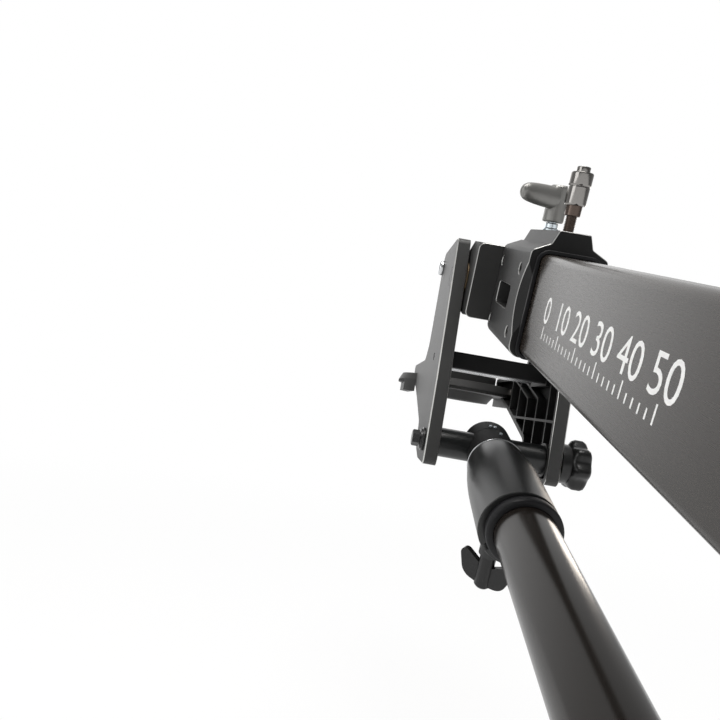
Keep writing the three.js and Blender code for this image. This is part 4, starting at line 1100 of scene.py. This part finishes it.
left_plate = side_plate()
right_plate = mirrored(left_plate)
for piece, (side, word) in zip((left_plate, right_plate), sides):
    dress(piece, "plate_" + word + "_milled", on_head, plate_black, ["head_plate_" + word], edge=0)
    # The chamfers get a painted highlight and the pockets a painted shade.
    refinish(piece, on_head, plate_edge_highlight, on_chamfer)
    refinish(piece, on_head, black_and_painted_shade, in_pocket)
print("plate", len(left_plate.data.polygons), "faces")

# %% [markdown]
# ## Axle, cross bar and ties
#
# Bars run from plate to plate: the upper axle in the pivot block with a thin cover disc on each end,
# the cross bar that the lower arm holds, and the front tie with its bright domed caps. A hex bolt with
# two washers closes the cross bar on the left, and a lobed knob on the right.

# %% Bars between the plates
bar_end = inside - play


def end_bores(radius, count=48, **place):
    """Two cutters that bore a bar from its ends to half way."""
    return (rod("y", radius, bar_end / 2, bar_end + past, count, **place),
            rod("y", radius, -bar_end - past, -bar_end / 2, count, **place))


axle = turned("y", [(0, -66.2), (8.6, -66.2), (10, -65), (10, 65), (8.6, 66.2), (0, 66.2)])
shifted(axle, z=drop)
dress(axle, "head_axle_turned", on_head, bright_steel, ["head_axle"], edge=0)
for side, word in sides:
    section = [(0, 66.4), (10.2, 66.4), (10.2, 67.8), (9.9, 68.1), (0, 68.1)]
    cover = shifted(turned("y", sided(side, section), 72), z=drop)
    dress(cover, "axle_cover_" + word, on_head, plate_black, edge=0)
bar = cut(rod("y", 14.8, -bar_end, bar_end), *end_bores(6.3))
dress(bar, "cross_bar_turned", on_head, bar_black, ["cross_bar"], edge=0.8)
washer_face = plate["outer"] + play
washers = turned("y", raised(washer_face, [
    (6.3, 0), (11.6, 0), (12, 0.4), (12, 2), (11.6, 2.4), (10.4, 2.4), (10.4, 4.2), (6.3, 4.2), (6.3, 0),
]), 64)
dress(washers, "washers_turned", on_head, ground_black, ["cross_bar_washer"], edge=0)
head_face = washer_face + 4.8
bolt_head = turned("y", raised(head_face, [(0, 0), (8.4, 0), (8.4, 7.5), (0, 7.5)]), 6)
dome = turned("y", raised(head_face, [(0, -1), (9.2, -1), (9.2, 5.8), (7.4, 7.5), (0, 7.5)]), 64)
bolt = join_solids(overlap(bolt_head, dome), rod("y", 6, bar_end / 2 + past, head_face + 1, 48))
dress(bolt, "bolt_turned", on_head, ground_black, ["cross_bar_bolt"], edge=0.2)
tie_x, tie_z = tie_spot
tie = shifted(cut(rod("y", 8, -bar_end, bar_end), *end_bores(5.3)), x=tie_x, z=tie_z)
dress(tie, "tie_rod_turned", on_head, dark_steel, ["front_tie_rod"], edge=0.6)
for side, word in sides:
    section = [(0, bar_end / 2 + past), (5, bar_end / 2 + past), *raised(washer_face, [
        (5, 0), (8.7, 0), (9, 0.4), (9, 2.8), (8.2, 4.1), (6.8, 5.0), (4.5, 5.5), (0, 5.6),
    ])]
    cap = shifted(turned("y", sided(side, section), 72), x=tie_x, z=tie_z)
    dress(cap, "tie_cap_turned_" + word, on_head, bright_steel, ["tie_cap_" + word], edge=0)
print("bar is", 2 * bar_end, "mm long")

# %% [markdown]
# ## Clamping knobs
#
# A moulded knob is a section spun round with lobes that fade towards its faces. Spinning a section
# whose radius waves with the angle gives that in one go, with no cutting.

# %% Knobs
knob_face = -washer_face
grip = turned("y", raised(knob_face, [
    (0, 0), (18.5, 0), (20, -1.2), (20, -9.5), (19, -11), (20.5, -11.6, 1.0), (24.2, -13.2, 3.0),
    (26, -16.5, 4.4), (26, -24, 4.4), (24.4, -27.2, 3.6), (21, -29.2, 2.2), (15, -29.8, 0.6), (12, -28.8),
    (0, -28.4),
]), 140, lobes=7)
stem = rod("y", 6, knob_face - past, -bar_end / 2 - past, 48)
grip = join_solids(grip, stem)
dress(grip, "cross_bar_grip", (head_frame, "bar_knob"), knob_black, ["cross_bar_knob"], edge=0, crease=50)


def small_knob(radius, length, lobes=6):
    """A lobed knob along +Z from 0 to length."""
    deep = radius * 0.16
    return turned("z", [
        (0, 0), (radius * 0.8, 0, deep * 0.6), (radius, length * 0.12, deep), (radius, length * 0.78, deep),
        (radius * 0.9, length * 0.94, deep * 0.8), (radius * 0.7, length, deep * 0.3), (0, length * 0.98),
    ], 96, lobes=lobes)


print("knob grip", len(grip.data.polygons), "faces")

# %% [markdown]
# ## Cross beam
#
# Behind the bowl a dark beam ties the plates, held by a screw on each side. The strip ahead of it, which
# shows as a bright line under the bowl, is a piece of its own.

# %% Cross beam
strip_half = bar_end - 7
beam_outline = rounded([(25, 80, 1), (39, 80, 0.5), (39, 98, 2), (25, 98, 2)])
beam = cut(prism("y", beam_outline, -bar_end, bar_end), *end_bores(4.3, 32, x=beam_spot[0], z=beam_spot[1]))
dress(beam, "cross_beam_milled", on_head, black_and_painted_shade, ["cross_beam"], edge=0.5)
strip_outline = [(39.1, -strip_half, 1), (75, -strip_half, 5), (75, strip_half, 5), (39.1, strip_half, 1)]
strip = prism("z", rounded(strip_outline), 80, 84)
dress(strip, "cross_beam_strip", on_head, bright_steel, ["cross_beam"], edge=0.5)
beam_screws = side_screws(3.9, 3.4, plate["outer"] - 3.8, [beam_spot])
dress(beam_screws, "beam_screws", on_head, ground_black, edge=0.12)
print("beam", len(beam.data.polygons), "faces")

# %% [markdown]
# ## Camera bowl
#
# The bowl is cast in one with its flange. Its hollow is part of a ball, so that what is set in it can be
# levelled. The flange has a wide bevel above and a knurled band below, and two lugs under it stand out
# beside the plates. The knurl is a wave on the radius of one stretch of the section, spun with many
# sides.

# %% Camera bowl
bowl = dict(flange=89, low=52, flange_low=64, hub=53.4, seat=50, rim=92, floor=57, skirt=8, lug=14)
b = bowl
seat_steps = 14
low_angle = math.asin((b["rim"] - b["floor"]) / b["seat"])
seat = []
for i in range(seat_steps + 1):
    angle = low_angle * i / seat_steps
    seat.append((b["seat"] * math.cos(angle), b["rim"] - b["seat"] * math.sin(angle)))
section = [
    (seat[-1][0], b["low"] + 4), (b["hub"] - b["skirt"], b["low"]), (b["hub"], b["flange_low"]),
    (88.4, 64), (89, 64.6, 0.8), (89, 67.4, 0.8), (88.7, 68.4), (84.4, 77.6), (83.8, 78),
    (b["hub"] + 1.5, 78), (b["hub"], 79.5), (b["hub"], 91.2), (b["hub"] - 0.8, b["rim"]), *seat,
]
section.append(section[0])
bowl_casting = turned("z", section, 360, lobes=120)
lug_near = plate["outer"] + play
lugs = [overlap(rod("z", bowl["flange"], bowl["low"], 69, 160), block((-95, 95), ends, (50, 80)))
        for ends in ((lug_near, lug_near + bowl["lug"]), (-lug_near - bowl["lug"], -lug_near))]
bowl_casting = join_solids(bowl_casting, *lugs)
shifted(bowl_casting, x=bowl_x)
dress(bowl_casting, "bowl_casting", on_head, cast_black, ["camera_bowl"], edge=0, crease=25)
print("bowl", len(bowl_casting.data.polygons), "faces")

# %% [markdown]
# ## Lower arm
#
# The lower member is a pair of round tubes. A clamp sleeve sits on the outer one's end: flared to the
# rear, slit low on its left side, with a bright ring round its front rim, a soft lip behind it and a
# wing screw under it.

# %% Lower arm tube and sleeve
arm = dict(radius=23.8, wall=2.5, nose=reach - 62, tail=27)
tube_section = pipe_section(arm["radius"], arm["radius"] - arm["wall"], arm["tail"], arm["nose"])
outer_tube = turned("x", tube_section, 128)
dress(outer_tube, "arm_tube_skin", on_arm, arm_black, ["arm_tube"], edge=0.3)
sleeve = dict(front=-35, rear=-150, radius=31.8, across=2.2, down=1.2)
grip_radius = 19.3
wing_x, wing_y, wing_top = -140, 17, -32.4
lug_top = -11.9
slit_turn = -40
skin = turned("x", [
    (0, sleeve["rear"]), (sleeve["radius"] - 0.6, sleeve["rear"]), (sleeve["radius"], sleeve["rear"] + 0.6),
    (sleeve["radius"], -96), (31.6, -85), (31.2, -75), (30.4, -64), (29.1, -52), (27.8, -42), (27.1, -36.6),
    (26.4, -35), (0, -35),
], 128)
length = sleeve["front"] - sleeve["rear"]
lean = (-sleeve["across"] / length, sleeve["down"] / length)
shifted(skin, x=-sleeve["front"])
skin.data.transform(Matrix(((1, 0, 0, 0), (lean[0], 1, 0, 0), (lean[1], 0, 1, 0), (0, 0, 0, 1))))
shifted(skin, x=sleeve["front"])
slit = prism("y", [(sleeve["rear"] - past, -3), (-95, 0), (sleeve["rear"] - past, 3)], 0, 60)
skin = cut(
    join_solids(skin, rod("z", 8.4, wing_top + play, lug_top, 64, x=wing_x, y=wing_y)),
    rod("x", arm["radius"] + play, sleeve["rear"] - past, -62 + play, 128),
    rod("x", grip_radius, sleeve["rear"] - past, sleeve["front"] + past, 128),
    rotated(slit, slit_turn, "X"),
    rod("z", 4.3, -65, lug_top, 40, x=wing_x, y=wing_y),
)
# The sleeve's bevels get a painted highlight.
dress(skin, "sleeve_skin", on_sleeve, satin_black, ["clamp_sleeve"], edge=0.6, edge_highlight_finish=cast_edge_highlight)
rim = turned("x", [
    (26.0, -36.6), (27.2, -36.6), (27.6, -36.0), (27.4, -35.3), (26.8, -35), (26.0, -35), (26.0, -36.6),
], 128)
dress(rim, "sleeve_rim_ring", on_sleeve, bright_steel, ["clamp_sleeve"], edge=0, crease=60)
lip = turned("x", [
    (24.1, -159.3), (27.2, -159.3), (28.6, -158.6), (29.2, -157.4), (29.4, -155.6), (29.3, -153.2),
    (28.9, -151.2), (28.3, -150.4), (24.1, -150.3), (24.1, -159.3),
], 128)
dress(lip, "sleeve_lip_ring", on_sleeve, soft_black, ["sleeve_lip"], edge=0, crease=50)
inner_tube = turned("x", pipe_section(19, 16.5, 189 - reach, -31), 128)
dress(inner_tube, "inner_arm_skin", on_eye, arm_black, ["inner_arm_tube"], edge=0.3)
print("arm tube", arm["nose"] - arm["tail"], "mm long")

# %% [markdown]
# ## Front eye
#
# The inner tube ends in a split eye round the cross bar. Its front half is screwed on from ahead, and
# three small screws stand on top of the two halves.

# %% Front eye
spigot = 16.2
bar_bore = 15.1
halves = (
    ("front_eye", [(0, -59), (spigot, -59), (spigot, -30.7), (23.6, -30.7), (24.4, -29.9), (24.4, -0.4),
                   (0, -0.4)]),
    ("eye_cap", [(0, 0.4), (24.4, 0.4), (24.4, 19.5), (23.8, 21.6), (22.4, 23), (0, 23)]),
)
for name, section in halves:
    half = cut(turned("x", section, 128), rod("y", bar_bore, -48, 48))
    dress(half, name + "_casting", on_eye, black_and_painted_shade, [name], edge=0.4)
cap_places = [facing((1, 0, 0), 20.4, y, z) for y in (-9, 9) for z in (-17.5, 17.5)]
cap_screws = many(socket_head(2.3, 2.4), cap_places)
dress(cap_screws, "eye_cap_screws", on_eye, bright_steel, edge=0.1)
rim_spots = ((3.7, 3.4), (2.8, -0.9), (-13.4, -3.8))
rim_screws = many(socket_head(1.7, 2.6), [facing((0, y, 24.2), x, y * 0.97, 23.2) for x, y in rim_spots])
dress(rim_screws, "eye_rim_screws", on_eye, zinc, edge=0.1)
print("eye screws", len(cap_places) + len(rim_spots))

# %% [markdown]
# ## Wing screw
#
# The wing screw is moulded: a round hub with two broad wings like leaves, each thick in the middle and
# thin at its rim. The wings are pushed outlines with wide bevels, joined to the hub.

# %% Wing screw
hub_height = 29
wing_low = wing_top - hub_height
wing_turn = 55
wing_reach = 23
hub = turned("z", [
    (0, wing_low), (5.0, wing_low), (6.4, wing_low + 1.6), (6.4, wing_top - 1), (5.8, wing_top),
    (0, wing_top),
], 64)
shank = rod("z", 4, wing_top - past, -arm["radius"] - play, 40)
wing_outline = rounded([
    (3.2, wing_low + 2, 2), (17.3, wing_low + 4, 11.5), (wing_reach, wing_low + 23, 11.5),
    (18.4, wing_low + 27, 5.8), (3.2, wing_low + 18.4, 5.8),
], 10)
blades = [rotated(prism("y", wing_outline, -2.5, 2.5), turn, "Z") for turn in (wing_turn, wing_turn + 180)]
screw = shifted(join_solids(hub, shank, *blades), x=wing_x, y=wing_y)
dress(screw, "wing_screw_moulded", (arm_front, "sleeve_screw"), knob_black, ["wing_screw"], edge=1.4)
print("wing span", 2 * wing_reach, "mm")

# %% [markdown]
# ## Yoke
#
# The yoke stands on the pan base. Its two cheeks are plates with windows, joined by a floor and a
# spacer, and the two axles cross them.

# %% Yoke cheeks and floor
cheek_low, cheek_top = 68, fulcrum_height + 36
cheek_outline = rounded([
    (-54, cheek_low, 6), (54, cheek_low, 6), (36, lower_height, 72), (36, fulcrum_height, 36),
    (36, cheek_top, 36), (-36, cheek_top, 36), (-36, fulcrum_height, 36), (-36, lower_height, 72),
], 10)
spacer_z = fulcrum_height - 102
windows = ((lower_height + 23, spacer_z - 14), (spacer_z + 14, fulcrum_height - 25))
for side, word in sides:
    near, far = (31, 43) if side > 0 else (-43, -31)
    panel = prism("y", cheek_outline, near, far)
    through = (near - past, far + past)
    tools = [prism("y", rounded_box(-21, 21, low, high, 6), *through) for low, high in windows]
    tools += [rod("y", r, *through, 64, z=z)
              for z, r in ((fulcrum_height, 10.3), (lower_height, 8.3), (spacer_z, 4.3))]
    # The cheeks' bevels get a painted highlight.
    dress(cut(panel, *tools), "cheek_milled_" + word, on_table, plate_black, ["cheek_" + word], 0.7,
          plate_edge_highlight)
yoke_floor = cut(prism("z", rounded_box(-56, 56, -52, 52, 14, 10), 54, 68), rod("z", 14.3, 50, 72, 64))
# The floor's bevels get a painted highlight.
dress(yoke_floor, "yoke_floor_milled", on_table, plate_black, ["yoke_floor"], 0.9, plate_edge_highlight)
spacer = turned("y", [
    (0, -42.7), (4, -42.7), (4, -30.7), (8, -30.7), (8, 30.7), (4, 30.7), (4, 42.7), (0, 42.7),
], 64)
shifted(spacer, z=spacer_z)
dress(spacer, "yoke_spacer_turned", on_table, dark_steel, ["yoke_spacer"], edge=0.4)
print("cheek windows", len(windows))

# %% Axles and bushes
face = 43.3


def headed_axle(radius, head_radius, head, end):
    """An axle whose head lies against the right cheek and whose plain end stands out at the left."""
    return turned("y", [
        (0, -face - head), (head_radius - head / 2, -face - head), (head_radius, -face - head / 2),
        (head_radius, -face), (radius, -face), (radius, end - 1), (radius - 1, end), (0, end),
    ])


upper = shifted(headed_axle(10, 19, 6, 57.5), z=fulcrum_height)
dress(upper, "fulcrum_axle_turned", on_table, bright_steel, ["fulcrum_axle"], edge=0.3)
groove = turned("y", pipe_section(16, 6.5, 44.5, 46), 72)
lower = shifted(cut(headed_axle(8, 14, 5, 48), groove), z=lower_height)
dress(lower, "arm_axle_turned", on_table, bright_steel, ["arm_axle"], edge=0.3)
tilt_bush = turned("y", pipe_section(tilt_bush_radius, 10.3, -30.7, 30.7), 72)
dress(tilt_bush, "tilt_bush_turned", on_boom, bearing_bronze, ["tilt_bush"], edge=0.4)
for side, word in sides:
    section = [(8.3, 1), (10.7, 1), (10.7, 24.1), (16, 24.1), (16, 30.7), (8.3, 30.7), (8.3, 1)]
    bush = turned("y", sided(side, section), 72)
    dress(bush, "arm_bush_turned_" + word, on_arm, bearing_bronze, ["arm_bush_" + word], edge=0.3)
print("axles", upper.name, lower.name)

# %% [markdown]
# The lower arm's rear eye is a casting: a knuckle round the axle that runs into the tube.

# %% Rear eye
knuckle = overlap(rod("y", 23, -20, 20, 128), rod("x", 25, -48, 48, 128))
neck = turned("x", [(0, 0), (20.9, 0), (20.9, 67), (18.9, 69), (0, 69)], 96)
shoulder = turned("x", [(0, 11.5), (23.0, 11.5), (23.8, 12.5), (23.8, 26.7), (0, 26.7)], 128)
rear_eye = cut(join_solids(knuckle, neck, shoulder), rod("y", 11, -48, 48, 72))
dress(rear_eye, "rear_eye_casting", on_arm, cast_black, ["rear_eye"], edge=0.8)
print("rear eye", len(rear_eye.data.polygons), "faces")

# %% [markdown]
# ## Tilt brake lever
#
# The brake lever should match the ratchet lever: the same painted casting, a hub with a long handle.
# This cell has a known fault: its stations give length first and radius second, but a turned section
# wants the radius first. So the handle is a wide open dish, and as the skin isn't closed the remesh
# leaves only specks of it: no brake lever is seen.

# %% Tilt brake lever
brake_hub = turned("y", [(0, play), (15, play), (16, 1.4), (16, 16), (14.5, 18), (11, 20), (0, 20)], 80)
stations = [(0, 5.2), (20, 5.3), (40, 5.9), (56, 6.4), (67.5, 6.5), (71, 5.6), (73.2, 3.6), (74, 0)]
brake_handle = turned("z", stations, 48)
brake_handle.data.transform(Matrix.Rotation(math.asin(-16 / 74), 4, "X"))
shifted(brake_handle, y=10)
brake = remeshed(join_solids(brake_hub, brake_handle), 0.7, 5)
brake = cut(brake, rod("y", 10.3, -1, 18, 72))
shifted(brake, y=43, z=fulcrum_height)
dress(brake, "tilt_brake_casting", (base_frame, "tilt_brake"), lever_grey, ["tilt_brake_lever"],
      edge=0, crease=60)
print("brake lever, faulty:", len(brake.data.polygons), "faces left")

# %% [markdown]
# ## Pan base
#
# A flat plate bolts to the tripod, and the turntable spins above it on its bearing housing. The spindle
# holds them together, and a lobed knob at the right clamps the turntable.

# %% Pan base
bolt_ring = 60
bolt_angles = [math.radians(45 + 90 * i) for i in range(4)]
disc = turned("z", [(0, 0), (74, 0), (75, 1), (75, 10.5), (73.5, 12), (0, 12)], 128)
disc = cut(disc, *[rod("z", 5, -past, 14, 40, x=bolt_ring * math.cos(a), y=bolt_ring * math.sin(a))
                   for a in bolt_angles])
dress(disc, "mount_plate_turned", on_base, tube_black, ["mount_plate"], edge=0.5)
housing = turned("z", [
    (14.3, 12), (49, 12), (50, 13), (50, 22), (49, 23), (49, 26), (50, 27), (50, 39), (49, 40), (14.3, 40),
    (14.3, 12),
], 128)
dress(housing, "pan_housing_turned", on_base, cast_black, ["pan_housing"], edge=0.3)
spindle = turned("z", [(0, 12), (14, 12), (14, 68.3), (20, 68.3), (20, 74.3), (19, 75.3), (0, 75.3)], 72)
dress(spindle, "pan_spindle_turned", on_base, bright_steel, ["pan_spindle"], edge=0.4)
brake_height = 47.3
table = turned("z", [
    (14.3, 40.6), (59, 40.6), (60, 41.6), (60, 52.4), (58.4, 54), (14.3, 54), (14.3, 40.6),
], 180)
table = cut(table, rod("y", 4.3, -62, -30, 40, z=brake_height))
dress(table, "turntable_turned", on_table, tube_black, ["turntable"], edge=0.3)
brake_knob = join_solids(small_knob(15, 20), rod("z", 8, -8, 1, 48), rod("z", 4, -38, -6, 40))
shifted(rotated(brake_knob, 90, "X"), y=-68.3, z=brake_height)
dress(brake_knob, "pan_brake_grip", (base_frame, "pan_brake"), knob_black, ["pan_brake_knob"],
      edge=0.3, crease=50)
print("bolt holes", len(bolt_angles))

# %% [markdown]
# ## Level
#
# A round level lets the base be set upright: a turned cup and, in it, a low domed body of green liquid.

# %% Level
level_x = 40
cup = turned("z", [(0, 0), (12.4, 0), (13, 0.6), (13, 8.2), (12.2, 9), (9.8, 9), (9.8, 3), (0, 3)], 72)
shifted(cup, x=level_x, z=68)
dress(cup, "level_cup_turned", on_table, dark_steel, ["level_cup"], edge=0)
vial = turned("z", [(0, 0.3), (9.5, 0.3), (9.5, 5.4), (8.6, 6), (4, 6.3), (0, 6.3)], 72)
shifted(vial, x=level_x, z=71)
dress(vial, "level_vial_glass", on_table, liquid, ["level_vial"], edge=0)
print("level", level_x, "mm ahead of the upright")

# %% [markdown]
# ## Counterweights
#
# A bar across the boom's rear carries cast discs, held by a flange inside and a stop collar outside.
# The discs are rough castings in dark paint with a raised rim and hub.

# %% Counterweights
weight_frame = ahead(boom_frame, weight_bar_x)
on_bar = (weight_frame, "boom")
stop_middle = 67.6
weight_sections = (
    [(12.7, 22), (29, 22), (30, 23), (30, 28), (29, 29), (12.7, 29), (12.7, 22)],
    [(12.7, 29.3), (30, 29.3), (32, 32.8), (98, 32.8), (100, 29.3), (113.5, 29.3), (115, 31), (115, 52.6),
     (113.5, 54.3), (100, 54.3), (98, 50.8), (32, 50.8), (30, 54.3), (12.7, 54.3), (12.7, 29.3)],
    [(12.7, 54.6), (21, 54.6), (22, 55.6), (22, 79.6), (21, 80.6), (12.7, 80.6), (12.7, 54.6)],
)
weight_bar = turned("y", [(0, -118), (11.2, -118), (12.4, -116.8), (12.4, 116.8), (11.2, 118), (0, 118)])
dress(weight_bar, "weight_bar_turned", on_bar, bright_steel, ["weight_bar"], edge=0)
for side, word in sides:
    flange, disc, stop = [turned("y", sided(side, section), 128) for section in weight_sections]
    dress(flange, "weight_flange_turned_" + word, on_bar, dark_steel, ["weight_flange_" + word], 0.2)
    dress(disc, "weight_disc_cast_" + word, on_bar, iron_black, ["counterweight_" + word], 0.8)
    stop = cut(stop, rod("z", 4.3, 0, 24, 40, y=side * stop_middle))
    dress(stop, "weight_stop_turned_" + word, (weight_frame, "stop_" + word), cast_black,
          ["weight_stop_" + word], 0.3)
    screw = join_solids(small_knob(12.5, 20), rod("z", 4, -13, 1, 40))
    shifted(screw, y=side * stop_middle, z=26)
    dress(screw, "stop_grip_" + word, (weight_frame, "stop_screw_" + word), knob_black,
          ["stop_knob_" + word], edge=0.3, crease=50)
print("weight disc", round(disc.dimensions.x, 3), "m across")

# %% [markdown]
# The boom's rear end is closed by a moulded cap.

# %% Boom end cap
cap_outline = tube_outline(boom["width"], boom["height"], boom["corner"])
plug = cut(
    prism("x", tube_outline(36.8, 73.4, 3), -432.8, -412),
    prism("x", tube_outline(30.8, 67.4, 1.5), -427, -410),
)
end_cap = join_solids(prism("x", cap_outline, -435.3, -430.3), plug)
dress(end_cap, "boom_end_cap_moulded", on_boom, knob_black, ["boom_end_cap"], edge=0.8)
print("end cap", len(end_cap.data.polygons), "faces")
